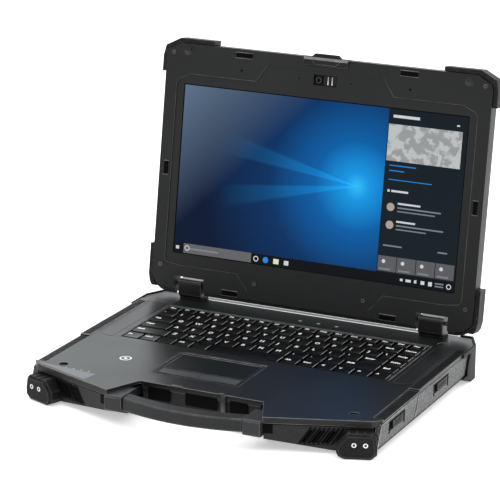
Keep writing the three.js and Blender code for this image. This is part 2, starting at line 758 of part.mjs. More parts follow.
// ---------------------------------------------------------------- hinges
function knuckle() {
  const foot = coverTop - footPocket;
  const profile = [
    [knuckleRear, foot], [knuckleRear, coverTop + 10], ...arc(hingeAxisY, axisZ, 7.2, -8, 82, 5),
    ...arc(-1.2, coverTop + 17.6, 3.8, 95, 180, 4), [-5, coverTop + 5.4], [knuckleFront, coverTop + 1.5],
    [knuckleFront, foot],
  ];
  const body = prismX(profile, -(knuckleOuter - knuckleInner) / 2, (knuckleOuter - knuckleInner) / 2);
  const bore = rodX(pinRadius + pinClearance, -30, 30).translate(0, hingeAxisY, axisZ);
  return cut(body, bore);
}

for (const [name, side] of sides) {
  place(laptop, `hinge_knuckle_${name}`, knuckle(), 'plastic', (side * (knuckleInner + knuckleOuter)) / 2);
}

// ---------------------------------------------------------------- lid
// Inside the lid group X is as before, Y runs up the lid from the hinge axis, and Z towards the user.
const bossReach = 9;
const pinHalfLength = (notchOuter - notchInner) / 2 + bossReach - 1;
const topChamferX = 160.5;
const topChamferSide = 175;
const topChamferRise = 8;
const lidCornerRadius = 16;

function lidOutline(foot, grow = 0) {
  return bothHalves([
    [topChamferX + grow * 0.5, lidTop + grow],
    [topChamferSide + grow * 0.9, lidTop - topChamferRise + grow * 0.9],
    [lidHalfWidth + grow, lidTop - topChamferRise - 6],
    ...arc(lidHalfWidth - lidCornerRadius, foot + lidCornerRadius, lidCornerRadius + grow, 0, -90),
  ]);
}

function hingeNotch(side) {
  const near = Math.min(side * notchInner, side * notchOuter);
  const far = Math.max(side * notchInner, side * notchOuter);
  return [
    block(near, far, lidFoot - 10, notchTop, lidBack - 5, lidFaceOffset + 5),
    rodX(notchRadius, near, far, 48),
  ];
}

const latchPocketDepth = 9;
const latchPocket = () => block(-latchHalfWidth - slideGap, latchHalfWidth + slideGap, latchFoot - slideGap,
  lidTop + 10, lidFaceOffset - latchPocketDepth, lidFaceOffset + 5);

function lidBackCover() {
  const outline = lidOutline(lidFoot);
  const front = bezelBack - gap;
  const body = prismZ(outline, lidBack, front);
  const hollow = prismZ(lidOutline(lidFoot, -shellWall), lidBack + shellWall, front + 1);
  const parts = [cut(body, hollow)];
  for (const [, side] of sides) {
    parts.push(sideBlock(side, notchInner - bossReach, notchOuter + bossReach, lidFoot + 1,
      notchRadius + shellWall, lidBack + 1, front));
  }
  parts.push(block(-latchHalfWidth - 4, latchHalfWidth + 4, latchFoot - 4, lidTop - 1, lidBack + 1, front));
  const tools = [latchPocket()];
  for (const [, side] of sides) {
    tools.push(...hingeNotch(side));
    const middle = (side * (notchInner + notchOuter)) / 2;
    const reach = pinHalfLength + gap;
    tools.push(rodX(pinRadius + gap, middle - reach, middle + reach));
  }
  return cut(join(...parts), ...tools);
}

const bezelStep = 0.8; // the middle of the bezel lies this far back
const cameraHalfGap = cameraHalfWidth + gap;

function lidBezel() {
  const window = roundedRect(-displayHalfWidth - 2 * gap, displayHalfWidth + 2 * gap,
    displayFoot - 2 * gap, displayFoot + displayHeight + 2 * gap, 1);
  const plate = prismZ(lidOutline(bezelFoot), bezelBack, lidFaceOffset, [window]);
  const step = prismZ(bothHalves([
    [62.7, 236.1], [75, 218.2], [148, 218.2], [160.5, 212.8], [163.7, 208],
    [163.7, 26], [161, 22.5], [146, 20.4], [81, 20.4], [67.2, 4],
  ]), lidFaceOffset - bezelStep, lidFaceOffset + 1);
  const camera = block(-cameraHalfGap, cameraHalfGap, cameraFoot - gap, cameraFoot + cameraHeight + gap,
    bezelBack - 1, lidFaceOffset + 1);
  const notches = sides.flatMap(([, side]) => hingeNotch(side));
  return cut(plate, step, camera, latchPocket(), ...notches);
}

function displayPanel() {
  const glassFront = lidFaceOffset - displayDepth;
  const flangeFront = bezelBack - gap;
  const glass = block(-displayHalfWidth, displayHalfWidth, displayFoot, displayFoot + displayHeight,
    flangeFront - 1, glassFront);
  const flange = block(-displayHalfWidth - displayFlange, displayHalfWidth + displayFlange,
    displayFoot - displayFlange, displayFoot + displayHeight + displayFlange, flangeFront - 3, flangeFront);
  return join(glass, flange);
}

place(lid, 'lid_back_cover', lidBackCover(), 'lidPlastic');
place(lid, 'lid_bezel', lidBezel(), 'lidPlastic');
place(lid, 'display_panel', displayPanel(), 'glass');

// ---------------------------------------------------------------- lid bumpers
const bumperFrontSet = 2; // behind the lid's front face
const topBumperInner = 124.7;
const topBumperSideFoot = 218.4;
const footBumperTop = 39.4;
const footBumperFoot = -4.6;

function lidBumper(side, keep) {
  const outer = lidOutline(lidFoot, bumperThickness);
  const band = cut(prismZ(outer, lidBack - bumperBackLip, lidFaceOffset - bumperFrontSet),
    prismZ(lidOutline(lidFoot, gap), lidBack - gap, lidFaceOffset + 1),
    prismZ(lidOutline(lidFoot, -bumperBackReach), lidBack - bumperBackLip - 1, lidFaceOffset));
  return toGeometry(toSolid(band).intersect(toSolid(keep(side))));
}

const topKeep = (side) => prismZ(flipX([
  [topBumperInner, lidTop - bumperBackReach - 2], [topBumperInner, lidTop + 10], [200, lidTop + 10],
  [200, topBumperSideFoot], [lidHalfWidth - bumperBackReach - 2, topBumperSideFoot],
  [lidHalfWidth - bumperBackReach - 2, lidTop - bumperBackReach - 2],
], side), -50, 50);
const footKeep = (side) => sideBlock(side, lidHalfWidth - bumperBackReach - 8, 200, footBumperFoot,
  footBumperTop, -50, 50);

for (const [name, side] of sides) {
  place(lid, `lid_top_bumper_${name}`, lidBumper(side, topKeep), 'rubber');
  place(lid, `lid_foot_bumper_${name}`, lidBumper(side, footKeep), 'rubber');
  const pin = rodX(pinRadius, -pinHalfLength, pinHalfLength, 16);
  place(lid, `hinge_pin_${name}`, pin, 'metal', (side * (notchInner + notchOuter)) / 2);
}

// ---------------------------------------------------------------- camera and latch
const shutterDepth = 1.2;
const shutterLeft = -1;

place(lid, 'camera_module', block(-cameraHalfWidth, cameraHalfWidth, cameraFoot, cameraFoot + cameraHeight,
  bezelBack - 3, lidFaceOffset - bezelStep - shutterDepth - slideGap), 'lens');
const shutterFace = lidFaceOffset - bezelStep;
place(lid, 'camera_shutter', block(shutterLeft, cameraHalfWidth - gap, cameraFoot + gap,
  cameraFoot + cameraHeight - gap, 0, shutterDepth), 'plastic', 0, 0, shutterFace - shutterDepth);

const latchPivotUp = latchFoot + latchHeight / 2;
const latchPivotDepth = lidFaceOffset - 3.5;
const latchProud = 1.2;
const latchThickness = 5.5;
const latchTabTop = lidTop + 4;

function lidLatch() {
  const front = lidFaceOffset + latchProud;
  const back = front - latchThickness;
  const bar = block(-latchHalfWidth, latchHalfWidth, latchFoot, latchFoot + latchHeight, back, front);
  const tab = prismZ([
    [-latchHalfWidth + 6, latchFoot + latchHeight - 1], [latchHalfWidth - 6, latchFoot + latchHeight - 1],
    [latchHalfWidth - 12, latchTabTop], [-latchHalfWidth + 12, latchTabTop],
  ], back, front - 1.5);
  return join(bar, tab).translate(0, -latchPivotUp, -latchPivotDepth);
}

place(lid, 'lid_latch', lidLatch(), 'rubber', 0, latchPivotUp, latchPivotDepth);

// ---------------------------------------------------------------- origin
// The origin lies under the middle of the whole object, on the surface it stands on.
laptop.updateMatrixWorld(true);
const bounds = new THREE.Box3().setFromObject(laptop, true);
const middle = bounds.getCenter(new THREE.Vector3());
laptop.position.set(-middle.x, -middle.y, -bounds.min.z);

export default laptop;
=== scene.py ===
import json
from math import atan2, hypot, pi, radians

import bpy
from mathutils import Matrix, Vector


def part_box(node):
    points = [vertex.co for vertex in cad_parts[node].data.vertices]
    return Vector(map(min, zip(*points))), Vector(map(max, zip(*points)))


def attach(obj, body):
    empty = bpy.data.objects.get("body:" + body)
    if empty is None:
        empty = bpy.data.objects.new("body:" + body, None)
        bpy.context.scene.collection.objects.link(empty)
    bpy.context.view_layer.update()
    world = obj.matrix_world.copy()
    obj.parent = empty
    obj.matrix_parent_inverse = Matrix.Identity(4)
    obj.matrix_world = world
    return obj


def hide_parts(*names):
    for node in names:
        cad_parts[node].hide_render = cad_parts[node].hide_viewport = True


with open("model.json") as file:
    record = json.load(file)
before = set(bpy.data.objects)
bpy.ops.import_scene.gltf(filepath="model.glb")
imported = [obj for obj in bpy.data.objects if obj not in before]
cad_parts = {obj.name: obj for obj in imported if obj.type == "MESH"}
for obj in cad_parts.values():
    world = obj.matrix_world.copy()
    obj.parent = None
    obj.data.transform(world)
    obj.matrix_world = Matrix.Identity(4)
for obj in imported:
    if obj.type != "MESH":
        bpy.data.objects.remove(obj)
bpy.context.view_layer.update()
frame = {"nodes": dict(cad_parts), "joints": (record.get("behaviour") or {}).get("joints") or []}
mm = 0.001
print("frame loaded")


# ordinary handling of objects
def deselectAll():
    if bpy.context.object and bpy.context.object.mode != "OBJECT":
        bpy.ops.object.mode_set(mode="OBJECT")
    bpy.ops.object.select_all(action="DESELECT")


def takeUp(piece):
    deselectAll()
    piece.select_set(True)
    bpy.context.view_layer.objects.active = piece


def applyPlace(piece):
    takeUp(piece)
    bpy.ops.object.transform_apply(location=True, rotation=True, scale=True)


def smoothPiece(piece, angle=35):
    takeUp(piece)
    bpy.ops.object.shade_smooth_by_angle(angle=radians(angle))


def bevelPiece(piece, width, segments=2, angle=30, edgeSlot=-1):
    takeUp(piece)
    rounding = piece.modifiers.new("rounding", "BEVEL")
    rounding.width = width
    rounding.segments = segments
    rounding.limit_method = "ANGLE"
    rounding.angle_limit = radians(angle)
    rounding.material = edgeSlot
    bpy.ops.object.modifier_apply(modifier=rounding.name)
    smoothPiece(piece)


def joinPieces(pieces, name):
    deselectAll()
    for piece in pieces:
        piece.select_set(True)
    bpy.context.view_layer.objects.active = pieces[0]
    if len(pieces) > 1:
        bpy.ops.object.join()
    joined = bpy.context.view_layer.objects.active
    joined.name = name
    joined.data.name = name
    return joined


def copyPiece(source, matrix):
    copied = bpy.data.objects.new(source.name + "Copy", source.data.copy())
    bpy.context.scene.collection.objects.link(copied)
    copied.data.transform(matrix)
    return copied


def dropPiece(piece):
    bpy.data.objects.remove(piece)


slightRounding = 0.000008  # just enough to take the sharpness off a thin plate


def easeCorners(piece, rounding, segments=2):
    if rounding:
        bevelPiece(piece, rounding * mm, segments)
    else:
        bevelPiece(piece, slightRounding, 1)


def mirroredSpan(side, near, far):
    # a span on the left (-1) or the right (1), its lower end first
    return sorted((side * near, side * far))


def pickTopFaces(piece, corners=4):
    # ends in edit mode, with only the faces that look up selected
    takeUp(piece)
    bpy.ops.object.mode_set(mode="EDIT")
    bpy.ops.mesh.select_mode(type="FACE")
    bpy.ops.mesh.select_all(action="DESELECT")
    bpy.ops.object.mode_set(mode="OBJECT")
    for face in piece.data.polygons:
        face.select = face.normal.z > 0.9 and len(face.vertices) >= corners
    bpy.ops.object.mode_set(mode="EDIT")


def roundedBlock(low, high, rounding=0.3, segments=2, turn=0.0):
    # sizes in millimetres; turn is about Z through the block's middle
    middle = [(a + b) / 2 * mm for a, b in zip(low, high)]
    deselectAll()
    bpy.ops.mesh.primitive_cube_add(size=1, location=middle, rotation=(0, 0, turn))
    piece = bpy.context.object
    piece.scale = [(b - a) * mm for a, b in zip(low, high)]
    applyPlace(piece)
    easeCorners(piece, rounding, segments)
    return piece


def seamStrip(points, width, foot, top, rounding=0.0):
    # a run of slim bars along a broken line, joined into one piece
    bars = []
    for (x0, y0), (x1, y1) in zip(points, points[1:]):
        length = hypot(x1 - x0, y1 - y0) + width * 0.7
        x, y = (x0 + x1) / 2, (y0 + y1) / 2
        low, high = (x - length / 2, y - width / 2, foot), (x + length / 2, y + width / 2, top)
        bars.append(roundedBlock(low, high, rounding, 1, atan2(y1 - y0, x1 - x0)))
    return joinPieces(bars, "strip")


def roundPost(x, y, foot, top, radius, rounding=0.3, sides=32):
    deselectAll()
    bpy.ops.mesh.primitive_cylinder_add(
        vertices=sides, radius=radius * mm, depth=(top - foot) * mm,
        location=(x * mm, y * mm, (foot + top) / 2 * mm))
    piece = bpy.context.object
    applyPlace(piece)
    easeCorners(piece, rounding)
    return piece


def flatRing(x, y, foot, top, inner, outer):
    # a circle drawn inwards to a band, raised, and eased along its rims
    middle = (x * mm, y * mm, foot * mm)
    deselectAll()
    bpy.ops.mesh.primitive_circle_add(vertices=32, radius=outer * mm, location=middle)
    piece = bpy.context.object
    applyPlace(piece)
    bpy.ops.object.mode_set(mode="EDIT")
    bpy.ops.mesh.select_all(action="SELECT")
    bpy.ops.mesh.extrude_edges_move()
    bpy.ops.transform.resize(value=(inner / outer, inner / outer, 1), center_override=middle)
    bpy.ops.mesh.select_all(action="SELECT")
    bpy.ops.mesh.extrude_region_move(TRANSFORM_OT_translate={"value": (0, 0, (top - foot) * mm)})
    bpy.ops.mesh.select_all(action="SELECT")
    bpy.ops.mesh.normals_make_consistent(inside=False)
    bpy.ops.object.mode_set(mode="OBJECT")
    bevelPiece(piece, min(outer - inner, top - foot) * 0.3 * mm, 2)
    return piece


def finishPiece(piece, name, body, material):
    piece.name = name
    piece.data.name = name
    if material is not None:
        piece.data.materials.clear()
        piece.data.materials.append(material)
    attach(piece, body)
    return piece


# shader groups shared by several finishes
def startGroup(name, inputs, outputs):
    group = bpy.data.node_groups.new(name, "ShaderNodeTree")
    for label, kind in inputs:
        group.interface.new_socket(name=label, in_out="INPUT", socket_type="NodeSocket" + kind)
    for label, kind in outputs:
        group.interface.new_socket(name=label, in_out="OUTPUT", socket_type="NodeSocket" + kind)
    return group, group.nodes.new("NodeGroupInput"), group.nodes.new("NodeGroupOutput")


def addNode(tree, kind, **values):
    node = tree.nodes.new("ShaderNode" + kind)
    for key, value in values.items():
        setattr(node, key, value)
    return node


def mathNode(tree, operation, first, second=None):
    node = addNode(tree, "Math", operation=operation)
    for socket, value in zip(node.inputs, (first, second)):
        if isinstance(value, (int, float)):
            socket.default_value = value
        elif value is not None:
            tree.links.new(value, socket)
    return node.outputs[0]


def blendNode(tree, amount, first, second, mode="MIX"):
    node = addNode(tree, "Mix", data_type="RGBA", blend_type=mode)
    for socket, value in ((node.inputs[0], amount), (node.inputs[6], first), (node.inputs[7], second)):
        if isinstance(value, bpy.types.NodeSocket):
            tree.links.new(value, socket)
        else:
            socket.default_value = value
    return node.outputs[2]


def rangeNode(tree, value, fromLow, fromHigh, toLow, toHigh):
    node = addNode(tree, "MapRange")
    tree.links.new(value, node.inputs[0])
    for index, number in enumerate((fromLow, fromHigh, toLow, toHigh), 1):
        node.inputs[index].default_value = number
    return node.outputs[0]


def makeMouldGrain():
    group, enter, leave = startGroup(
        "mouldGrain", [("Vector", "Vector"), ("Grains", "Float")], [("Height", "Float")])
    noise = addNode(group, "TexNoise")
    noise.inputs["Detail"].default_value = 3
    cells = addNode(group, "TexVoronoi", feature="F1")
    group.links.new(enter.outputs["Vector"], noise.inputs["Vector"])
    group.links.new(enter.outputs["Grains"], noise.inputs["Scale"])
    group.links.new(enter.outputs["Vector"], cells.inputs["Vector"])
    group.links.new(enter.outputs["Grains"], cells.inputs["Scale"])
    group.links.new(mathNode(group, "SUBTRACT", noise.outputs[0], cells.outputs[0]), leave.inputs[0])
    return group


def makeToneDrift():
    group, enter, leave = startGroup(
        "toneDrift",
        [("Vector", "Vector"), ("Dark", "Color"), ("Light", "Color"), ("Drift", "Float"), ("Specks", "Float"),
         ("Speck Amount", "Float")],
        [("Color", "Color"), ("Mask", "Float")])
    cloud = addNode(group, "TexNoise")
    cloud.inputs["Detail"].default_value = 4
    group.links.new(enter.outputs["Vector"], cloud.inputs["Vector"])
    group.links.new(enter.outputs["Drift"], cloud.inputs["Scale"])
    specks = addNode(group, "TexNoise")
    specks.inputs["Detail"].default_value = 2
    group.links.new(enter.outputs["Vector"], specks.inputs["Vector"])
    group.links.new(enter.outputs["Specks"], specks.inputs["Scale"])
    mask = rangeNode(group, cloud.outputs[0], 0.3, 0.7, 0, 1)
    speckMask = rangeNode(group, specks.outputs[0], 0.56, 0.7, 0, 1)
    amount = mathNode(group, "MULTIPLY", speckMask, enter.outputs["Speck Amount"])
    base = blendNode(group, mask, enter.outputs["Dark"], enter.outputs["Light"])
    speckled = blendNode(group, amount, base, (0.32, 0.34, 0.36, 1))
    group.links.new(speckled, leave.inputs["Color"])
    group.links.new(mask, leave.inputs["Mask"])
    return group


# edge colour: a lighter base colour as a painted highlight along edges, with rubbed wear patches mixed in by
# noise
def makeEdgeWearAndHighlight():
    group, enter, leave = startGroup(
        "edgeWearAndHighlight", [("Vector", "Vector"), ("Base", "Color"), ("Rubbed", "Color")], [("Color", "Color")])
    patches = addNode(group, "TexNoise")
    patches.inputs["Scale"].default_value = 90
    patches.inputs["Detail"].default_value = 5
    group.links.new(enter.outputs["Vector"], patches.inputs["Vector"])
    mask = rangeNode(group, patches.outputs[0], 0.38, 0.64, 0, 1)
    group.links.new(blendNode(group, mask, enter.outputs["Base"], enter.outputs["Rubbed"]), leave.inputs[0])
    return group


mouldGrain = makeMouldGrain()
toneDrift = makeToneDrift()
edgeWearAndHighlight = makeEdgeWearAndHighlight()


def startMaterial(name):
    material = bpy.data.materials.new(name)
    material.use_nodes = True
    tree = material.node_tree
    shader = tree.nodes["Principled BSDF"]
    return material, tree, shader, addNode(tree, "TexCoord")


def placeGroup(tree, group, **values):
    node = tree.nodes.new("ShaderNodeGroup")
    node.node_tree = group
    for label, value in values.items():
        node.inputs[label.replace("_", " ")].default_value = value
    return node


def grey(level, warm=0.0):
    return (level * (1 + warm), level, level * (1 - warm), 1)


usualLook = {
    "drift": 14.0, "specks": 900.0, "speckAmount": 0.05, "grains": 1600.0, "depth": 0.00012, "strength": 0.35,
    "metal": 0.0, "shine": 0.25,
}


def mouldedFinish(name, changes):
    # every finish gives dark, light and rough (low, high), and what differs from the usual look
    look = {**usualLook, **changes}
    material, tree, shader, place = startMaterial(name)
    tone = placeGroup(tree, toneDrift, Dark=look["dark"], Light=look["light"], Drift=look["drift"],
                      Specks=look["specks"], Speck_Amount=look["speckAmount"])
    tree.links.new(place.outputs["Object"], tone.inputs["Vector"])
    tree.links.new(tone.outputs["Color"], shader.inputs["Base Color"])
    rough = rangeNode(tree, tone.outputs["Mask"], 0, 1, *look["rough"])
    tree.links.new(rough, shader.inputs["Roughness"])
    grain = placeGroup(tree, mouldGrain, Grains=look["grains"])
    tree.links.new(place.outputs["Object"], grain.inputs["Vector"])
    bump = addNode(tree, "Bump")
    bump.inputs["Strength"].default_value = look["strength"]
    bump.inputs["Distance"].default_value = look["depth"]
    tree.links.new(grain.outputs[0], bump.inputs["Height"])
    tree.links.new(bump.outputs[0], shader.inputs["Normal"])
    shader.inputs["Metallic"].default_value = look["metal"]
    shader.inputs["Specular IOR Level"].default_value = look["shine"]
    return material


# the base colour is lighter than the part it edges, a painted highlight; the rubbed colour is wear
def edgeWearAndHighlightFinish(name, base, rubbed, rough):
    material, tree, shader, place = startMaterial(name)
    wearAndHighlight = placeGroup(tree, edgeWearAndHighlight, Base=base, Rubbed=rubbed)
    tree.links.new(place.outputs["Object"], wearAndHighlight.inputs["Vector"])
    tree.links.new(wearAndHighlight.outputs[0], shader.inputs["Base Color"])
    noise = addNode(tree, "TexNoise")
    noise.inputs["Scale"].default_value = 400
    tree.links.new(place.outputs["Object"], noise.inputs["Vector"])
    unevenRough = rangeNode(tree, noise.outputs[0], 0.3, 0.7, rough - 0.06, rough + 0.08)
    tree.links.new(unevenRough, shader.inputs["Roughness"])
    shader.inputs["Specular IOR Level"].default_value = 0.35
    return material


finishes = {
    "palm": mouldedFinish("palmRestPlastic", {
        "dark": grey(0.005, -0.14), "light": grey(0.008, -0.14), "rough": (0.3, 0.38), "depth": 0.00005,
        "shine": 0.36, "speckAmount": 0.02}),
    "shell": mouldedFinish("shellPlastic", {
        "dark": grey(0.006), "light": grey(0.012), "rough": (0.42, 0.55), "grains": 1100.0}),
    "lid": mouldedFinish("lidPlastic", {
        "dark": grey(0.007, -0.06), "light": grey(0.012, -0.07), "rough": (0.4, 0.5), "drift": 7.0,
        "speckAmount": 0.02}),
    "lidBack": mouldedFinish("lidBackPlastic", {
        "dark": grey(0.01), "light": grey(0.018), "rough": (0.4, 0.55), "drift": 9.0, "grains": 1000.0}),
    "rubber": mouldedFinish("cornerRubber", {
        "dark": grey(0.003), "light": grey(0.007), "rough": (0.5, 0.62), "speckAmount": 0.05, "grains": 900.0,
        "depth": 0.0002, "shine": 0.15}),
    "door": mouldedFinish("doorGrain", {
        "dark": grey(0.014, -0.05), "light": grey(0.05, -0.06), "rough": (0.34, 0.5), "drift": 70.0,
        "specks": 520.0, "speckAmount": 0.6, "grains": 600.0, "depth": 0.0003, "shine": 0.5}),
    "pull": mouldedFinish("sliderPlastic", {
        "dark": grey(0.003), "light": grey(0.007), "rough": (0.4, 0.5)}),
    "grip": mouldedFinish("gripRubber", {
        "dark": grey(0.008, -0.08), "light": grey(0.015, -0.09), "rough": (0.44, 0.56), "drift": 40.0,
        "speckAmount": 0.06, "specks": 900.0, "grains": 800.0, "depth": 0.00022}),
    "handle": mouldedFinish("handlePlastic", {
        "dark": grey(0.014, -0.08), "light": grey(0.022, -0.09), "rough": (0.38, 0.5), "speckAmount": 0.06}),
    "key": mouldedFinish("keycapGloss", {
        "dark": grey(0.002), "light": grey(0.004), "rough": (0.26, 0.34), "depth": 0.00002,
        "speckAmount": 0.0, "shine": 0.14}),
    "tray": mouldedFinish("keyFramePlastic", {
        "dark": grey(0.004), "light": grey(0.007), "rough": (0.4, 0.5)}),
    "hinge": mouldedFinish("hingeSatin", {
        "dark": grey(0.006), "light": grey(0.01), "rough": (0.28, 0.4), "depth": 0.00006, "shine": 0.4}),
    "trim": mouldedFinish("brightTrim", {
        "dark": grey(0.5), "light": grey(0.62), "rough": (0.3, 0.42), "metal": 1.0, "depth": 0.00002,
        "speckAmount": 0.0}),
    "steel": mouldedFinish("turnedSteel", {
        "dark": grey(0.6), "light": grey(0.75), "rough": (0.2, 0.34), "metal": 1.0, "depth": 0.00002,
        "speckAmount": 0.0}),
    "darkMetal": mouldedFinish("darkMetal", {
        "dark": grey(0.08), "light": grey(0.13), "rough": (0.3, 0.42), "metal": 1.0, "depth": 0.00003,
        "speckAmount": 0.0}),
    "pad": mouldedFinish("touchSurface", {
        "dark": (0.0025, 0.0045, 0.0043, 1), "light": (0.0045, 0.0075, 0.007, 1), "rough": (0.34, 0.42),
        "depth": 0.00003, "speckAmount": 0.0, "shine": 0.2}),
    "button": mouldedFinish("touchButtonSatin", {
        "dark": grey(0.035, -0.1), "light": grey(0.05, -0.1), "rough": (0.34, 0.44), "depth": 0.00003,
        "shine": 0.4}),
    "grille": mouldedFinish("grillePlastic", {
        "dark": grey(0.008), "light": grey(0.014), "rough": (0.42, 0.52)}),
    "board": mouldedFinish("circuitBoard", {
        "dark": (0.006, 0.05, 0.02, 1), "light": (0.012, 0.09, 0.035, 1), "rough": (0.35, 0.5),
        "drift": 160.0, "speckAmount": 0.3, "specks": 500.0}),
    "battery": mouldedFinish("batteryWrap", {
        "dark": grey(0.014), "light": grey(0.026), "rough": (0.35, 0.5)}),
    # near black: the rest pads' own colour, and painted shade where it stands for holes, slots, pockets, pull
    # recesses, screw crosses, wall gaps and socket mouths
    "recess": mouldedFinish("blackPadsAndPaintedShade", {
        "dark": grey(0.001), "light": grey(0.002), "rough": (0.5, 0.7), "speckAmount": 0.0, "shine": 0.05}),
    "glass": mouldedFinish("displayGlassEdge", {
        "dark": grey(0.0015), "light": grey(0.003), "rough": (0.1, 0.16), "depth": 0.00001,
        "speckAmount": 0.0, "shine": 0.08}),
    "lens": mouldedFinish("cameraWindow", {
        "dark": grey(0.002), "light": grey(0.004), "rough": (0.06, 0.12), "depth": 0.00001,
        "speckAmount": 0.0, "shine": 0.15}),
    "ink": mouldedFinish("printInk", {
        "dark": grey(0.75), "light": grey(0.95), "rough": (0.5, 0.6), "depth": 0.00002, "speckAmount": 0.0}),
    "faintInk": mouldedFinish("faintInk", {
        "dark": grey(0.2), "light": grey(0.3), "rough": (0.5, 0.6), "depth": 0.00002, "speckAmount": 0.0}),
    "deck": mouldedFinish("rearDeckPlastic", {
        "dark": (0.006, 0.0085, 0.0078, 1), "light": (0.011, 0.0145, 0.0135, 1), "rough": (0.5, 0.6),
        "speckAmount": 0.04, "shine": 0.05}),
    # painted highlight for the palm rest's sloped corner
    "facet": mouldedFinish("palmCornerHighlight", {
        "dark": grey(0.06, -0.1), "light": grey(0.11, -0.1), "rough": (0.3, 0.4), "depth": 0.00003,
        "speckAmount": 0.1, "shine": 0.5}),
}
# edge finishes for bevel faces and thin strips: painted highlights along edges and seams, with wear patches
edges = {
    "dark": edgeWearAndHighlightFinish("darkEdgeWearAndHighlight", grey(0.02), grey(0.05), 0.36),
    "rubber": edgeWearAndHighlightFinish("rubberEdgeWearAndHighlight", grey(0.008), grey(0.03), 0.5),
    "door": edgeWearAndHighlightFinish("doorEdgeWearAndHighlight", grey(0.16), grey(0.4), 0.4),
    "lid": edgeWearAndHighlightFinish("lidEdgeWearAndHighlight", grey(0.03), grey(0.075), 0.38),
    "line": edgeWearAndHighlightFinish("seamEdgeWearAndHighlight", grey(0.1), grey(0.22), 0.4),
    "key": edgeWearAndHighlightFinish("keycapRimHighlightAndWear", grey(0.28), grey(0.62), 0.3),
}
print("finishes made")


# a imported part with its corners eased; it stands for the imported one
def easedPart(node, name, body, width, material, edge=None, segments=2, angle=28, merged=True):
    source = frame["nodes"][node]
    piece = bpy.data.objects.new(name, source.data.copy())
    bpy.context.scene.collection.objects.link(piece)
    piece.data.materials.clear()
    piece.data.materials.append(material)
    if edge is not None:
        piece.data.materials.append(edge)
    takeUp(piece)
    if piece.data.has_custom_normals:
        bpy.ops.mesh.customdata_custom_splitnormals_clear()
    bpy.ops.object.mode_set(mode="EDIT")
    bpy.ops.mesh.select_all(action="SELECT")
    bpy.ops.mesh.remove_doubles(threshold=0.00002)
    if merged:
        bpy.ops.mesh.dissolve_limited(angle_limit=radians(0.6))
    bpy.ops.object.mode_set(mode="OBJECT")
    bevelPiece(piece, width * mm, segments, angle, 1 if edge is not None else -1)
    evenNormals = piece.modifiers.new("evenNormals", "WEIGHTED_NORMAL")
    evenNormals.keep_sharp = True
    bpy.ops.object.modifier_apply(modifier=evenNormals.name)
    finishPiece(piece, name, body, None)
    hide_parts(node)
    return piece


easedParts = [
    ("base_bottom_shell", "bottomShell", "base", "shell_plastic", 0.5, "shell", "dark"),
    ("base_top_cover", "topCover", "base", "cover_plastic", 0.45, "palm", "line"),
    ("base_front_bumper_left", "frontCornerLeft", "base", "bumper_rubber", 0.7, "rubber", "rubber"),
    ("base_front_bumper_right", "frontCornerRight", "base", "bumper_rubber", 0.7, "rubber", "rubber"),
    ("base_rear_bumper_left", "rearCornerLeft", "base", "bumper_rubber", 0.5, "rubber", "rubber"),
    ("base_rear_bumper_right", "rearCornerRight", "base", "bumper_rubber", 0.5, "rubber", "rubber"),
    ("speaker_grille_left", "grilleLeft", "base", "grille_plastic", 0.15, "grille", None),
    ("speaker_grille_right", "grilleRight", "base", "grille_plastic", 0.15, "grille", None),
    ("hinge_knuckle_left", "knuckleLeft", "base", "hinge_metal", 0.6, "hinge", "lid"),
    ("hinge_knuckle_right", "knuckleRight", "base", "hinge_metal", 0.6, "hinge", "lid"),
    ("hinge_trim_bar", "trimBar", "base", "trim_metal", 0.3, "trim", None),
    ("touchpad", "touchSurfacePlate", "base", "touch_surface", 0.25, "pad", None),
    ("touch_button_left", "touchButtonLeft", "touch_left", "touch_button", 0.25, "button", "lid"),
    ("touch_button_right", "touchButtonRight", "touch_right", "touch_button", 0.25, "button", "lid"),
    ("power_button", "powerButton", "power", "button_metal", 0.3, "darkMetal", None),
    ("keyboard_tray", "keyFrame", "base", "key_frame", 0.2, "tray", None),
    ("front_door_left", "frontDoorLeft", "door_front_left", "door_plastic", 0.5, "door", "door"),
    ("front_door_right", "frontDoorRight", "door_front_right", "door_plastic", 0.5, "door", "door"),
    ("rear_door_left", "rearDoorLeft", "door_rear_left", "door_plastic", 0.5, "door", "door"),
    ("rear_door_right", "rearDoorRight", "door_rear_right", "door_plastic", 0.5, "door", "door"),
    ("handle_grip", "handleGrip", "handle", "handle_rubber", 1.6, "grip", "dark"),
    ("handle_end_left", "handleEndLeft", "handle", "handle_plastic", 0.8, "handle", "lid"),
    ("handle_end_right", "handleEndRight", "handle", "handle_plastic", 0.8, "handle", "lid"),
    ("lid_back_cover", "lidBackShell", "lid", "lid_plastic", 0.7, "lidBack", "lid"),
    ("lid_bezel", "screenBezel", "lid", "bezel_plastic", 0.45, "lid", "lid"),
    ("lid_latch", "lidLatch", "latch", "latch_plastic", 0.5, "pull", "dark"),
    ("camera_shutter", "cameraShutter", "shutter", "shutter_plastic", 0.2, "pull", None),
]
pierced = ("base_top_cover", "base_bottom_shell", "keyboard_tray", "lid_bezel", "lid_back_cover")
for node, name, body, slot, width, look, edgeLook in easedParts:
    edge = edges[edgeLook] if edgeLook else None
    easedPart(node, name, body, width, finishes[look], edge, 3 if node == "handle_grip" else 2,
              merged=node not in pierced)

plainNodes = {
    "display_panel": "glass", "camera_module": "lens", "hinge_pin_left": "steel", "hinge_pin_right": "steel",
    "mainboard": "board", "heat_sink": "darkMetal", "cooling_fan": "pull", "battery_pack": "battery",
}
for node, look in plainNodes.items():
    for holder in frame["nodes"][node].material_slots:
        holder.material = finishes[look]
print("packed parts eased and finished")


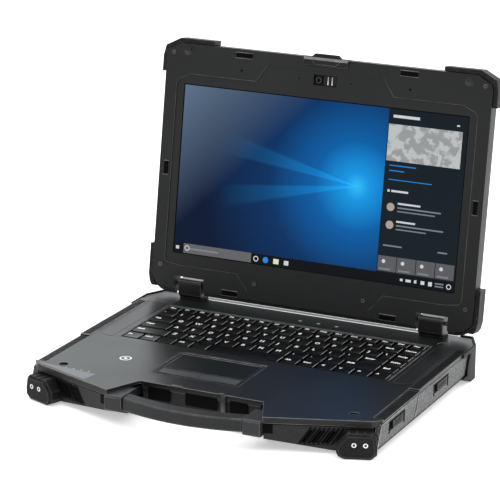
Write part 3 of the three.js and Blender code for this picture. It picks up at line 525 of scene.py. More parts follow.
# lid coordinates: x across, y up the lid from its hinge axis, z towards the user, all in millimetres
lidJoint = next(joint for joint in frame["joints"] if joint["name"] == "lid_hinge")
lidTilt = radians(81.4)
lidMatrix = Matrix.Translation(Vector(lidJoint["pos_m"])) @ Matrix.Rotation(lidTilt, 4, "X")
lidFace = 11.9  # front of the bezel
stepFace = 11.1  # its sunken middle
glassFace = 10.5


def onLid(piece, name, body, material):
    piece.data.transform(lidMatrix)
    return finishPiece(piece, name, body, material)


lidBumperLook = {
    "grooves": (-3.2, 0.6, 4.4), "grooveWidth": 0.55, "dark": grey(0.003), "light": grey(0.006),
}


def groovedRubber(look):
    # grooves run round the lid at fixed depths behind its face
    material, tree, shader, place = startMaterial("groovedRubber")
    mapping = addNode(tree, "Mapping", vector_type="TEXTURE")
    mapping.inputs["Location"].default_value = lidJoint["pos_m"]
    mapping.inputs["Rotation"].default_value = (lidTilt, 0, 0)
    tree.links.new(place.outputs["Object"], mapping.inputs["Vector"])
    split = addNode(tree, "SeparateXYZ")
    tree.links.new(mapping.outputs[0], split.inputs[0])
    depth = mathNode(tree, "MULTIPLY", split.outputs["Z"], 1000)
    height = None
    for groove in look["grooves"]:
        away = mathNode(tree, "ABSOLUTE", mathNode(tree, "SUBTRACT", depth, groove))
        wall = rangeNode(tree, away, look["grooveWidth"] * 0.5, look["grooveWidth"], 0, 1)
        height = wall if height is None else mathNode(tree, "MULTIPLY", height, wall)
    tone = placeGroup(tree, toneDrift, Dark=look["dark"], Light=look["light"], Drift=20.0, Specks=800.0,
                      Speck_Amount=0.12)
    tree.links.new(place.outputs["Object"], tone.inputs["Vector"])
    # the grooves are coloured near black: painted shade in them, besides the bump
    tree.links.new(blendNode(tree, height, (0.002, 0.002, 0.002, 1), tone.outputs["Color"]),
                   shader.inputs["Base Color"])
    tree.links.new(rangeNode(tree, tone.outputs["Mask"], 0, 1, 0.42, 0.56), shader.inputs["Roughness"])
    shader.inputs["Specular IOR Level"].default_value = 0.2
    bump = addNode(tree, "Bump")
    bump.inputs["Strength"].default_value = 1
    bump.inputs["Distance"].default_value = 0.0006
    tree.links.new(height, bump.inputs["Height"])
    tree.links.new(bump.outputs[0], shader.inputs["Normal"])
    return material


finishes["grooved"] = groovedRubber(lidBumperLook)
for end in ("top", "foot"):
    for side in ("left", "right"):
        corner = f"lid{end.title()}Corner{side.title()}"
        easedPart(f"lid_{end}_bumper_{side}", corner, "lid", 0.6, finishes["grooved"],
                  edges["rubber"])


# display picture: soft blue field with light fanning out of a bright spot
pictureLook = {
    "halfWidth": 154.2, "foot": 33.9, "top": 206.9, "heightToWidth": 0.5625, "spot": (0.64, 0.53),
    "rayScale": 4.6, "rayEdge": (2.55, 2.85), "strength": 1.0,
}


def pictureFinish(look):
    material, tree, shader, place = startMaterial("displayPicture")
    split = addNode(tree, "SeparateXYZ")
    tree.links.new(place.outputs["UV"], split.inputs[0])
    across = mathNode(tree, "SUBTRACT", split.outputs[0], look["spot"][0])
    upward = mathNode(tree, "SUBTRACT", split.outputs[1], look["spot"][1])
    upward = mathNode(tree, "MULTIPLY", upward, look["heightToWidth"])
    squares = [mathNode(tree, "MULTIPLY", part, part) for part in (across, upward)]
    reach = mathNode(tree, "SQRT", mathNode(tree, "ADD", *squares))
    bearing = mathNode(tree, "ABSOLUTE", mathNode(tree, "ARCTAN2", upward, across))
    rays = addNode(tree, "TexNoise", noise_dimensions="1D")
    rays.inputs["Scale"].default_value = look["rayScale"]
    rays.inputs["Detail"].default_value = 1
    tree.links.new(bearing, rays.inputs["W"])
    field = addNode(tree, "ValToRGB")
    tree.links.new(mathNode(tree, "MULTIPLY", reach, 1.35), field.inputs[0])
    stops = ((0.0, (0.03, 0.5, 0.95)), (0.06, (0.006, 0.3, 0.75)), (0.2, (0.0012, 0.11, 0.37)),
             (0.42, (0.001, 0.03, 0.12)), (0.75, (0.0008, 0.007, 0.03)))
    ramp = field.color_ramp
    ramp.elements[0].position, ramp.elements[0].color = stops[0][0], (*stops[0][1], 1)
    ramp.elements[1].position, ramp.elements[1].color = stops[-1][0], (*stops[-1][1], 1)
    for position, colour in stops[1:-1]:
        ramp.elements.new(position).color = (*colour, 1)
    leftward = rangeNode(tree, bearing, *look["rayEdge"], 0, 1)
    rayMask = mathNode(tree, "MULTIPLY", rangeNode(tree, rays.outputs[0], 0.5, 0.62, 0, 1),
                      mathNode(tree, "MULTIPLY", leftward, rangeNode(tree, reach, 0.0, 0.5, 0.5, 0)))
    lit = blendNode(tree, rayMask, field.outputs[0], (0.005, 0.2, 0.45, 1), "ADD")
    cornerReach = mathNode(tree, "ADD", mathNode(tree, "MULTIPLY", split.outputs[0], 1.75),
                          mathNode(tree, "SUBTRACT", 1.0, split.outputs[1]))
    haze = rangeNode(tree, cornerReach, 0.0, 0.85, 0.8, 0)
    hazed = blendNode(tree, haze, lit, (0.13, 0.2, 0.3, 1))
    tree.links.new(hazed, shader.inputs["Emission Color"])
    shader.inputs["Emission Strength"].default_value = look["strength"]
    shader.inputs["Base Color"].default_value = (0.001, 0.001, 0.0015, 1)
    shader.inputs["Roughness"].default_value = 0.25
    shader.inputs["Specular IOR Level"].default_value = 0.06
    return material


def glowFinish(name, colour, patch=0.0):
    # an evenly lit patch of the display, with a faint unevenness
    material, tree, shader, place = startMaterial(name)
    noise = addNode(tree, "TexNoise")
    noise.inputs["Scale"].default_value = patch or 300
    noise.inputs["Detail"].default_value = 3
    tree.links.new(place.outputs["Object"], noise.inputs["Vector"])
    swing = 0.38 if patch else 0.06
    mask = rangeNode(tree, noise.outputs[0], 0.46, 0.54, 0, 1)
    darker = [level * (1 - swing) for level in colour]
    tree.links.new(blendNode(tree, mask, (*darker, 1), (*colour, 1)), shader.inputs["Emission Color"])
    shader.inputs["Emission Strength"].default_value = 1
    shader.inputs["Base Color"].default_value = (0.001, 0.001, 0.0015, 1)
    shader.inputs["Roughness"].default_value = 0.25
    shader.inputs["Specular IOR Level"].default_value = 0.06
    return material


glows = {
    "panel": glowFinish("glowPanel", (0.007, 0.013, 0.018)),
    "bar": glowFinish("glowBar", (0.003, 0.004, 0.006)),
    "field": glowFinish("glowField", (0.13, 0.13, 0.14)),
    "tile": glowFinish("glowTile", (0.11, 0.11, 0.12)),
    "text": glowFinish("glowText", (0.62, 0.66, 0.7)),
    "dimText": glowFinish("glowDimText", (0.2, 0.23, 0.26)),
    "map": glowFinish("glowMap", (0.5, 0.52, 0.52), 120.0),
    "blue": glowFinish("glowBlue", (0.02, 0.25, 0.7)),
    "face": glowFinish("glowDisc", (0.42, 0.36, 0.31)),
    "pale": glowFinish("glowPale", (0.7, 0.78, 0.5)),
}


def plateOnLid(x0, x1, y0, y1, level, thickness=0.03):
    foot = glassFace + 0.02 + level * 0.04
    return roundedBlock((x0, y0, foot), (x1, y1, foot + thickness), 0)


deselectAll()
bpy.ops.mesh.primitive_plane_add(size=1)
picture = bpy.context.object
picture.scale = (2 * pictureLook["halfWidth"] * mm, (pictureLook["top"] - pictureLook["foot"]) * mm, 1)
picture.location = (0, (pictureLook["top"] + pictureLook["foot"]) / 2 * mm, (glassFace + 0.03) * mm)
applyPlace(picture)
bpy.ops.object.mode_set(mode="EDIT")
bpy.ops.mesh.select_all(action="SELECT")
bpy.ops.mesh.subdivide(number_cuts=5)
bpy.ops.object.mode_set(mode="OBJECT")
onLid(picture, "displayPicture", "lid", pictureFinish(pictureLook))

screenPlates = {  # x0, x1, y0, y1, level
    "panel": [(71, 154.2, 43.8, 206.9, 1)],
    "bar": [(-154.2, 154.2, 33.9, 43.8, 1)],
    "field": [(-143.5, -66.5, 33.9, 43.8, 2)],
    "map": [(72, 149.5, 155.5, 192, 2)],
    "tile": [(72 + 20.4 * i, 91.6 + 20.4 * i, 45.2, 60.5, 2) for i in range(4)],
    "blue": [(76, 104, 150.6, 151.6, 2), (76, 92, 145.4, 146.4, 2), (76, 122, 136.6, 137.4, 2)],
    "pale": [(-41.5, -35.5, 36, 41.2, 3), (143, 146, 196.8, 198.2, 2)],
    "text": [(76, 104, 198.4, 201.2, 2), (-152.2, -148.6, 37.2, 40.6, 3), (76, 78.4, 124.6, 127, 2),
             (80, 98, 124.8, 126.8, 2), (-29.6, -24.6, 36.2, 40.8, 3), (88, 112, 113, 114.8, 2),
             (88, 108, 95, 96.8, 2), (97, 100, 37.6, 40, 2), (103, 108.6, 37.4, 40, 2),
             (112, 114.6, 37.4, 40.4, 2),
             (119, 123, 37, 40.6, 2), (127, 131, 36.6, 40.8, 2)],
    "dimText": [(88, 134, 109, 110.4, 2), (88, 128, 105.6, 106.8, 2), (88, 138, 91.2, 92.6, 2),
                (88, 120, 87.6, 88.8, 2), (76, 96, 70.4, 71.8, 2), (134, 144, 70.4, 71.8, 2),
                (-136, -104, 37.8, 39.6, 3), (134, 143, 39.4, 40.8, 2), (134, 143, 36.6, 38, 2)]
               + [(74 + 20.4 * i, 86 + 20.4 * i, 46.6, 48.2, 3) for i in range(4)],
}
for look, plates in screenPlates.items():
    made = joinPieces([plateOnLid(*plate) for plate in plates], "plates")
    onLid(made, "display" + look.title() + "Plates", "lid", glows[look])

screenDiscs = {  # x, y, radius
    "face": [(80.7, 109.8, 4.1), (81.2, 91.9, 4.1)],
    "blue": [(-50.2, 38.6, 3.1)],
    "text": [(78 + 20.4 * i, 55, 1.9) for i in range(4)],
}
for look, discs in screenDiscs.items():
    made = [roundPost(x, y, glassFace + 0.14, glassFace + 0.17, radius, 0) for x, y, radius in discs]
    onLid(joinPieces(made, "discs"), "display" + look.title() + "Discs", "lid", glows[look])
rings = [flatRing(x, y, glassFace + 0.1, glassFace + 0.16, radius - 0.45, radius + 0.45)
         for x, y, radius in ((-139.4, 39.2, 2.4), (-61, 38.6, 2.4), (148.6, 38.6, 2.2))]
onLid(joinPieces(rings, "rings"), "displayRings", "lid", glows["text"])
print("display picture made")


# lid trim
lidTrim = {
    "studX": 152.6, "studUp": 242.0, "studRadius": 3.7, "studProud": 1.6,
    "padX": (80.5, 98.5), "padUp": (240.4, 245.2), "padProud": 1.2,
    "footPadX": (79, 95.5), "footPadUp": (-3.4, 1.6),
    "screws": [(169, 239), (168.4, 19), (60, 12.5)],
    "sidePadX": (167.2, 171.4), "sidePadUp": (113, 126.5),
    "padFrameReach": 0.8, "padFrameWidth": 0.7,
    "micX": 28, "micUp": 226.2, "sensorX": 91.5, "sensorUp": 227.4,
    "footHoles": (-13, 26.4), "footHoleStep": 2.4,
    "ridgeX": (3.2, 7.6), "ridgeWidth": 1.2, "ridgeUp": (222.6, 230.8), "lens": (-6.6, 226.6),
}


def crossScrew(radius):
    # a sunken round head with a cross recess, modelled facing +Z at the origin; the cross is two black bars,
    # painted shade in the recess
    head = roundPost(0, 0, -0.1, 0.35, radius, 0.12, 28)
    pickTopFaces(head, 9)
    bpy.ops.mesh.inset(thickness=radius * 0.28 * mm)
    bpy.ops.transform.translate(value=(0, 0, -0.18 * mm))
    bpy.ops.object.mode_set(mode="OBJECT")
    long, narrow = radius * 0.5, radius * 0.12
    bars = [roundedBlock((-long, -narrow, 0.1), (long, narrow, 0.24), 0, 1, turn) for turn in (0, pi / 2)]
    head.data.materials.append(finishes["darkMetal"])
    for bar in bars:
        bar.data.materials.append(finishes["recess"])
    return joinPieces([head, *bars], "screw")


screwMaster = crossScrew(2.2)
screwCopies = []
for x, up in lidTrim["screws"]:
    for sign in (-1, 1):
        face = stepFace if abs(x) < 160 and 20 < up < 218 else lidFace
        screwCopies.append(copyPiece(screwMaster, Matrix.Translation((sign * x * mm, up * mm, face * mm))))
onLid(joinPieces(screwCopies, "screws"), "bezelScrews", "lid", None)

studs = []
for sign in (-1, 1):
    x, up, radius = sign * lidTrim["studX"], lidTrim["studUp"], lidTrim["studRadius"]
    studs.append(roundPost(x, up, lidFace - 0.1, lidFace + 0.5, radius + 1.4, 0.2))
    studs.append(roundPost(x, up, lidFace, lidFace + lidTrim["studProud"], radius, 0.9))
onLid(joinPieces(studs, "studs"), "restStuds", "lid", finishes["hinge"])

lidPads = [(lidTrim[place + "X"], lidTrim[place + "Up"]) for place in ("pad", "footPad", "sidePad")]
pads = []
for sign in (-1, 1):
    for (near, far), (low, high) in lidPads:
        x0, x1 = mirroredSpan(sign, near, far)
        pads.append(roundedBlock((x0, low, lidFace - 0.1), (x1, high, lidFace + lidTrim["padProud"]), 0.4))
onLid(joinPieces(pads, "pads"), "restPads", "lid", finishes["recess"])

padFrames = []
for sign in (-1, 1):
    for (near, far), (low, high) in lidPads:
        x0, x1 = mirroredSpan(sign, near, far)
        x0, x1 = x0 - lidTrim["padFrameReach"], x1 + lidTrim["padFrameReach"]
        width = lidTrim["padFrameWidth"]
        for y0, y1 in ((high, high + width), (low - width, low)):
            padFrames.append(roundedBlock((x0, y0, lidFace - 0.1), (x1, y1, lidFace + 0.4), 0.15, 1))
onLid(joinPieces(padFrames, "padFrames"), "restPadFrames", "lid", edges["line"])


# a black disc on the face: painted shade standing for a hole
def holeShadeDisc(x, up, face, radius, sides=16):
    return roundPost(x, up, face - 0.05, face + 0.03, radius, 0, sides)


micHoles = [holeShadeDisc(sign * lidTrim["micX"], lidTrim["micUp"], stepFace, 0.9) for sign in (-1, 1)]
micHoles += [holeShadeDisc(sign * lidTrim["sensorX"], lidTrim["sensorUp"], lidFace, 1.3) for sign in (-1, 1)]
holeX, holeUp = lidTrim["footHoles"]
holeStep = lidTrim["footHoleStep"]
micHoles += [holeShadeDisc(holeX + holeStep * i, holeUp + holeStep * j, stepFace, 0.55, 12)
             for i in range(3) for j in range(2)]
onLid(joinPieces(micHoles, "holes"), "bezelHoles", "lid", finishes["recess"])

ridgeFoot, ridgeTop = lidTrim["ridgeUp"]
shutterRidges = []
for x in lidTrim["ridgeX"]:
    low, high = (x, ridgeFoot, stepFace - 0.1), (x + lidTrim["ridgeWidth"], ridgeTop, stepFace + 0.7)
    shutterRidges.append(roundedBlock(low, high, 0.25))
onLid(joinPieces(shutterRidges, "ridges"), "shutterRidges", "shutter", finishes["trim"])
lensRing = flatRing(*lidTrim["lens"], stepFace - 0.7, stepFace - 0.1, 2.2, 3.0)
onLid(lensRing, "cameraLensRing", "lid", finishes["darkMetal"])

# pale strips along the bezel's step: a painted highlight on its edge, with wear
stepOutline = [(62.7, 236.1), (75, 218.2), (148, 218.2), (160.5, 212.8), (163.7, 208), (163.7, 26),
               (161, 22.5), (146, 20.4), (81, 20.4), (67.2, 4)]
stepLines = [seamStrip([(sign * x, up) for x, up in stepOutline], 0.55, lidFace - 0.3, lidFace + 0.12, 0.08)
             for sign in (-1, 1)]
onLid(joinPieces(stepLines, "stepLines"), "bezelStepLines", "lid", edges["lid"])

# a pale band on top of the latch: painted highlight, with wear
latchBand = roundedBlock((-23.6, 246.4, lidFace + 0.9), (23.6, 249.2, lidFace + 1.5), 0.25)
onLid(latchBand, "latchBand", "latch", edges["line"])
latchLine = [(-14.5, 245.4), (-11, 242.2), (11, 242.2), (14.5, 245.4)]
latchTab = seamStrip(latchLine, 0.7, lidFace + 1.1, lidFace + 1.6, 0.15)
onLid(latchTab, "latchOutline", "latch", edges["lid"])
print("lid trim made")


# back of the lid: raised panel, ribs and screws
backPanel = {"halfWidth": 128, "foot": 40, "top": 214, "proud": 1.6}
lidBackFace = -3.1
panel = roundedBlock((-backPanel["halfWidth"], backPanel["foot"], lidBackFace - backPanel["proud"]),
                     (backPanel["halfWidth"], backPanel["top"], lidBackFace + 0.3), 0.9, 3)
onLid(panel, "backPanel", "lid", finishes["lidBack"])
backRib = {"x": 140, "halfWidth": 3.2, "first": 40, "step": 22, "length": 14, "proud": 1.5, "count": 8}
ribs = []
for sign in (-1, 1):
    for i in range(backRib["count"]):
        middle, foot = sign * backRib["x"], backRib["first"] + backRib["step"] * i
        low = (middle - backRib["halfWidth"], foot, lidBackFace - backRib["proud"])
        high = (middle + backRib["halfWidth"], foot + backRib["length"], lidBackFace + 0.3)
        ribs.append(roundedBlock(low, high, 0.6))
onLid(joinPieces(ribs, "ribs"), "backRibs", "lid", finishes["rubber"])
backFlip = Matrix.Rotation(pi, 4, "Y")
backScrews = [copyPiece(screwMaster, Matrix.Translation((x * mm, up * mm, lidBackFace * mm)) @ backFlip)
              for x in (-158, 158) for up in (24, 120, 226)]
onLid(joinPieces(backScrews, "screws"), "backScrews", "lid", None)
print("lid back made")


# keyboard: one cap is shaped for each width and copied along its row
keyLook = {"gap": 1.8, "rise": 3.6, "taper": 0.9, "dish": 0.22, "rounding": 0.45, "inset": 1.1,
           "pitch": 18.8, "fieldWidth": 284}
legendLook = {"size": 6.6, "wordSize": 4.6, "inset": 2.2, "thickness": 0.02, "weight": 0.16}


def keyCap(width, depth):
    # a tapered cap with a shallow dished top, its foot centred on the origin
    deselectAll()
    bpy.ops.mesh.primitive_cube_add(size=1)
    cap = bpy.context.object
    cap.scale = (width * mm, depth * mm, keyLook["rise"] * mm)
    cap.location = (0, 0, keyLook["rise"] / 2 * mm)
    applyPlace(cap)
    pickTopFaces(cap)
    taper = 2 * keyLook["taper"]
    bpy.ops.transform.resize(value=((width - taper) / width, (depth - taper) / depth, 1),
                             center_override=(0, 0, keyLook["rise"] * mm))
    bpy.ops.mesh.inset(thickness=keyLook["inset"] * mm)
    bpy.ops.transform.translate(value=(0, 0, -keyLook["dish"] * mm))
    bpy.ops.object.mode_set(mode="OBJECT")
    bevelPiece(cap, keyLook["rounding"] * mm, 2, 20)
    cap.data.materials.append(finishes["key"])
    cap.data.materials.append(edges["key"])
    for face in cap.data.polygons:  # the sloping left and right rims take the pale edge finish, a painted highlight
        across, rising = abs(face.normal.x), face.normal.z
        face.material_index = 1 if across > 0.5 and rising > 0.2 and face.center.z > 2.4 * mm else 0
    return cap


def legendText(words, x, y, z, size):
    deselectAll()
    bpy.ops.object.text_add(location=(x * mm, y * mm, z * mm))
    text = bpy.context.object
    text.data.body = words
    text.data.size = size * mm
    text.data.resolution_u = 2
    text.data.extrude = legendLook["thickness"] * mm
    text.data.offset = legendLook["weight"] * mm
    bpy.ops.object.convert(target="MESH")
    applyPlace(bpy.context.object)
    return bpy.context.object


endPitches = keyLook["fieldWidth"] / keyLook["pitch"] - 1
keyRows = {  # node: piece name, body, widths in pitches, legends
    "function_keys": ("functionCaps", "keys_function", [1] * 17,
                      ["Esc"] + [f"F{i}" for i in range(1, 13)] + ["Ins", "Prt", "Del", "Pau"]),
    "number_keys": ("numberCaps", "keys_number", [1] * 13, list("`1234567890-=")),
    "backspace_key": ("backspaceCap", "key_backspace", [endPitches - 13], ["Back"]),
    "upper_letter_keys": ("upperCaps", "keys_upper", [1.4] + [1] * 12 + [endPitches - 13.4],
                          ["Tab"] + list("QWERTYUIOP[]") + ["\\"]),
    "home_letter_keys": ("homeCaps", "keys_home", [1.7] + [1] * 11, ["Caps"] + list("ASDFGHJKL;'")),
    "enter_key": ("enterCap", "key_enter", [endPitches - 12.7], ["Enter"]),
    "left_shift_key": ("leftShiftCap", "key_left_shift", [2.1], ["Shift"]),
    "lower_letter_keys": ("lowerCaps", "keys_lower", [1] * 10, list("ZXCVBNM,./")),
    "right_shift_key": ("rightShiftCap", "key_right_shift", [endPitches - 12.1], ["Shift"]),
    "left_modifier_keys": ("leftModifierCaps", "keys_left_modifier", [1] * 5, ["Fn", "Ctrl", "", "Alt", ""]),
    "space_bar": ("spaceBar", "key_space", [4.1], [""]),
    "right_modifier_keys": ("rightModifierCaps", "keys_right_modifier", [1] * 2, ["Alt", "Ctrl"]),
    "arrow_keys": ("arrowCaps", "keys_arrow", [1] * 3, ["<", "v", ">"]),
    "navigation_keys": ("navigationCaps", "keys_navigation", [1] * 5, ["Home", "PgUp", "PgDn", "End", "^"]),
}
capMasters = {}
for node, (name, body, widths, legends) in keyRows.items():
    low, high = (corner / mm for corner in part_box(node))
    column = node == "navigation_keys"
    total = (high.y - low.y if column else high.x - low.x) + keyLook["gap"]
    pitch = total / sum(widths)
    caps, words = [], []
    at = high.y + keyLook["gap"] / 2 if column else low.x - keyLook["gap"] / 2
    for width, legend in zip(widths, legends):
        size = width * pitch
        if column:
            x, y = (low.x + high.x) / 2, at - size / 2
            at -= size
            wide, deep = high.x - low.x, size - keyLook["gap"]
        else:
            x, y = at + size / 2, (low.y + high.y) / 2
            at += size
            wide, deep = size - keyLook["gap"], high.y - low.y
        measure = (round(wide, 2), round(deep, 2))
        if measure not in capMasters:
            capMasters[measure] = keyCap(wide, deep)
        caps.append(copyPiece(capMasters[measure], Matrix.Translation((x * mm, y * mm, low.z * mm))))
        if legend:
            letter = len(legend) == 1
            letterSize = legendLook["size"] if letter else legendLook["wordSize"]
            lift = 0.3 * min(deep, 12) / 6 if letter else 0.8 * min(deep, 12) / 6 - 0.6
            words.append(legendText(legend, x - wide / 2 + legendLook["inset"], y + lift,
                                    high.z - keyLook["dish"] + 0.02, letterSize))
    row = joinPieces(caps, name)
    finishPiece(row, name, body, None)
    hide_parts(node)
    if words:
        finishPiece(joinPieces(words, "words"), name + "Legends", body, finishes["ink"])
for master in capMasters.values():
    dropPiece(master)
print("keyboard made")


# base coordinates: x across, y from the hinge-foot line, z above the floor, in millimetres
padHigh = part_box("touchpad")[1] / mm
coverTop = padHigh.z + 0.8
rearShift = 121.845  # from the hinge-foot line to the frame's origin


def onBase(piece, name, material, body="base"):
    piece.data.transform(Matrix.Translation((0, rearShift * mm, 0)))
    return finishPiece(piece, name, body, material)


deck = roundedBlock((-143, -24.5, coverTop + 0.01), (143, 5.6, coverTop + 0.07), 0)
onBase(deck, "rearDeckSkin", finishes["deck"])
keyFrameLine = [(-144.5, -139.5), (-144.5, -27.6), (144.5, -27.6), (144.5, -139.5)]
keyboardRim = seamStrip(keyFrameLine, 0.7, coverTop - 0.1, coverTop + 0.25, 0.1)
onBase(keyboardRim, "keyboardRim", edges["line"])
sidePanels = []
for sign in (-1, 1):
    outline = [(-167, -134), (-167, -26), (-149.5, -26), (-149.5, -140.5), (-160, -140.5), (-167, -134)]
    mirrored = [(sign * x, y) for x, y in outline]
    sidePanels.append(seamStrip(mirrored, 0.6, coverTop - 0.1, coverTop + 0.15, 0.08))
onBase(joinPieces(sidePanels, "panels"), "sidePanelLines", edges["dark"])

touchFrame = [(-68, -218.5), (-68, -158), (-62, -151.5), (26, -151.5), (26, -218.5), (-68, -218.5)]
touchInner = [(-65.6, -217), (-65.6, -158.8), (-60.8, -153.6)]
buttonLine = [(-62.6, -198.9), (21.6, -198.9), (21.6, -214.2), (-62.6, -214.2), (-62.6, -198.9)]
touchLines = [seamStrip(buttonLine, 0.5, coverTop - 1.0, coverTop + 0.05, 0.08),
              seamStrip(touchFrame, 0.6, coverTop - 0.1, coverTop + 0.2, 0.1),
              seamStrip(touchInner, 0.5, coverTop - 0.1, coverTop + 0.15, 0.1)]
onBase(joinPieces(touchLines, "lines"), "touchFrameLines", edges["lid"])

iconLook = {"first": -152, "step": 8.2, "y": -243.2, "radius": 1.3, "lightFirst": -5, "lightStep": 20}
statusIcons = []
for i in range(5):
    x = iconLook["first"] + iconLook["step"] * i
    icon = roundPost(x, iconLook["y"], coverTop - 0.05, coverTop + 0.04, iconLook["radius"], 0, 16)
    statusIcons.append(icon)
for i in range(3):
    x = iconLook["lightFirst"] + iconLook["lightStep"] * i
    statusIcons.append(roundedBlock((x, -15.5, coverTop), (x + 3.5, -12.5, coverTop + 0.1), 0))
onBase(joinPieces(statusIcons, "icons"), "statusIcons", finishes["faintInk"])

markSpot = (-106, -194, coverTop - 0.05, coverTop + 0.05)
palmMark = joinPieces([flatRing(*markSpot, 4.6, 6), roundPost(*markSpot, 1.9, 0)], "mark")
onBase(palmMark, "palmMark", finishes["ink"])

# pale patch on the sloped corner of the palm rest, cut from a plane: a painted highlight
facetLook = {
    "size": (66, 32), "middle": (-141, -251), "foot": 0.03, "thickness": 0.03,
    "cuts": [((-174, -240.5), (-108, -247.5), True), ((-173, -242.2), (-83, -276), False),
             ((-108, -240), (-112, -262), True)],  # from, to, and whether the side to the left is cut off
}
deselectAll()
bpy.ops.mesh.primitive_plane_add(size=1)
facet = bpy.context.object
(facetWide, facetDeep), (facetX, facetY) = facetLook["size"], facetLook["middle"]
facet.scale = (facetWide * mm, facetDeep * mm, 1)
facet.location = (facetX * mm, facetY * mm, (coverTop + facetLook["foot"]) * mm)
applyPlace(facet)
bpy.ops.object.mode_set(mode="EDIT")
for (x0, y0), (x1, y1), leftOff in facetLook["cuts"]:
    bpy.ops.mesh.select_all(action="SELECT")
    slope = Vector((y0 - y1, x1 - x0, 0)).normalized()
    bpy.ops.mesh.bisect(plane_co=(x0 * mm, y0 * mm, 0), plane_no=slope, clear_outer=leftOff,
                        clear_inner=not leftOff)
bpy.ops.mesh.select_all(action="SELECT")
bpy.ops.mesh.extrude_region_move(TRANSFORM_OT_translate={"value": (0, 0, facetLook["thickness"] * mm)})
bpy.ops.mesh.select_all(action="SELECT")
bpy.ops.mesh.normals_make_consistent(inside=False)
bpy.ops.object.mode_set(mode="OBJECT")
onBase(facet, "palmCornerHighlight", finishes["facet"])

# rear wall of the handle recess: black plates as painted shade in its pockets, a post, two catches and a pale
# rim strip, a painted highlight with wear
recess = {
    "wall": -244, "halfWidth": 64, "pocketShades": ((-55, -32), (-16, 17), (30, 48)), "pocketHeight": (17, 29),
    "post": (21.5, 26), "postHeight": (10, 33), "catches": ((-31, -20, 1.0, 3.5), (18, 23, 0.8, 3)),
}
recessWall = recess["wall"]
pocketFoot, pocketTop = recess["pocketHeight"]
pocketShades = [roundedBlock((x0, recessWall - 0.35, pocketFoot), (x1, recessWall - 0.1, pocketTop), 0)
           for x0, x1 in recess["pocketShades"]]
onBase(joinPieces(pocketShades, "pocketShades"), "recessPocketShades", finishes["recess"])
(postLeft, postRight), (postFoot, postTop) = recess["post"], recess["postHeight"]
posts = [roundedBlock((postLeft, recessWall - 2.2, postFoot), (postRight, recessWall - 0.1, postTop), 0.4)]
for x0, x1, outward, inward in recess["catches"]:
    low, high = (x0, recessWall - outward, coverTop - 0.3), (x1, recessWall + inward, coverTop + 0.7)
    posts.append(roundedBlock(low, high, 0.35))
onBase(joinPieces(posts, "posts"), "recessPosts", edges["lid"])
rimEnds = [(-recess["halfWidth"], recessWall + 0.3), (recess["halfWidth"], recessWall + 0.3)]
rim = seamStrip(rimEnds, 0.7, coverTop - 0.1, coverTop + 0.15, 0.1)
onBase(rim, "recessRim", edges["line"])

sideRib = {
    "near": 171.6, "far": 178.8, "width": 2.6, "step": 4.6, "height": 0.5,
    "rows": [(-146, 26, 0.5), (-233, 18, -1.5)],  # first, count, foot above the cover
}
sideRibs = []
for sign in (-1, 1):
    x0, x1 = mirroredSpan(sign, sideRib["near"], sideRib["far"])
    for first, count, lift in sideRib["rows"]:
        foot = coverTop + lift
        for i in range(count):
            y = first + sideRib["step"] * i
            high = (x1, y + sideRib["width"], foot + sideRib["height"])
            sideRibs.append(roundedBlock((x0, y, foot), high, 0.2, 1))
onBase(joinPieces(sideRibs, "ribs"), "sideRibs", finishes["rubber"])


# front wall coordinates: x along the slanted wall from the nose, outward is -y, z above the floor
frontAngle = atan2(35, 94)


def frontWall(side):
    turn = Matrix.Rotation(side * frontAngle, 4, "Z")
    return Matrix.Translation((side * 80 * mm, (-280 + rearShift) * mm, 0)) @ turn


facing = Matrix.Rotation(pi / 2, 4, "X")  # +Z turned to face -Y
bumperScrews = {"along": (83.7, 94.2), "height": 14.6, "proud": 12.4, "radius": 1.8, "headScale": 0.6}
rings, heads = [], []
for side in (-1, 1):
    for along in bumperScrews["along"]:
        outward, up = -bumperScrews["proud"] * mm, bumperScrews["height"] * mm
        seat = frontWall(side) @ Matrix.Translation((side * along * mm, outward, up)) @ facing
        ring = flatRing(0, 0, -0.3, 0.45, bumperScrews["radius"] - 0.5, bumperScrews["radius"] + 0.5)
        ring.data.transform(seat)
        rings.append(ring)
        headScale = Matrix.Diagonal((bumperScrews["headScale"], bumperScrews["headScale"], 1, 1))
        heads.append(copyPiece(screwMaster, seat @ headScale))
finishPiece(joinPieces(rings, "rings"), "bumperScrewRings", "base", finishes["steel"])
finishPiece(joinPieces(heads, "heads"), "bumperScrews", "base", None)

# black strips on the front wall: painted shade, a band under the lip and a short block by the nose
wallShadeSpans = ((1, 9.5, 17.5, 28.5), (1, 76, 26.3, 27.4))  # along from, to, foot, top
wallShades = []
for side in (-1, 1):
    for x0, x1, z0, z1 in wallShadeSpans:
        near, far = mirroredSpan(side, x0, x1)
        mark = roundedBlock((near, 0.9, z0), (far, 1.7, z1), 0)
        mark.data.transform(frontWall(side))
        wallShades.append(mark)
finishPiece(joinPieces(wallShades, "wallShades"), "frontWallShades", "base", finishes["recess"])

lipBands = []
for side in (-1, 1):
    near, far = mirroredSpan(side, 1.2, 98.5)
    band = roundedBlock((near, -0.07, 28.1), (far, 0.05, 32.3), 0)
    band.data.transform(frontWall(side))
    lipBands.append(band)
finishPiece(joinPieces(lipBands, "lipBands"), "frontLipBands", "base", finishes["tray"])

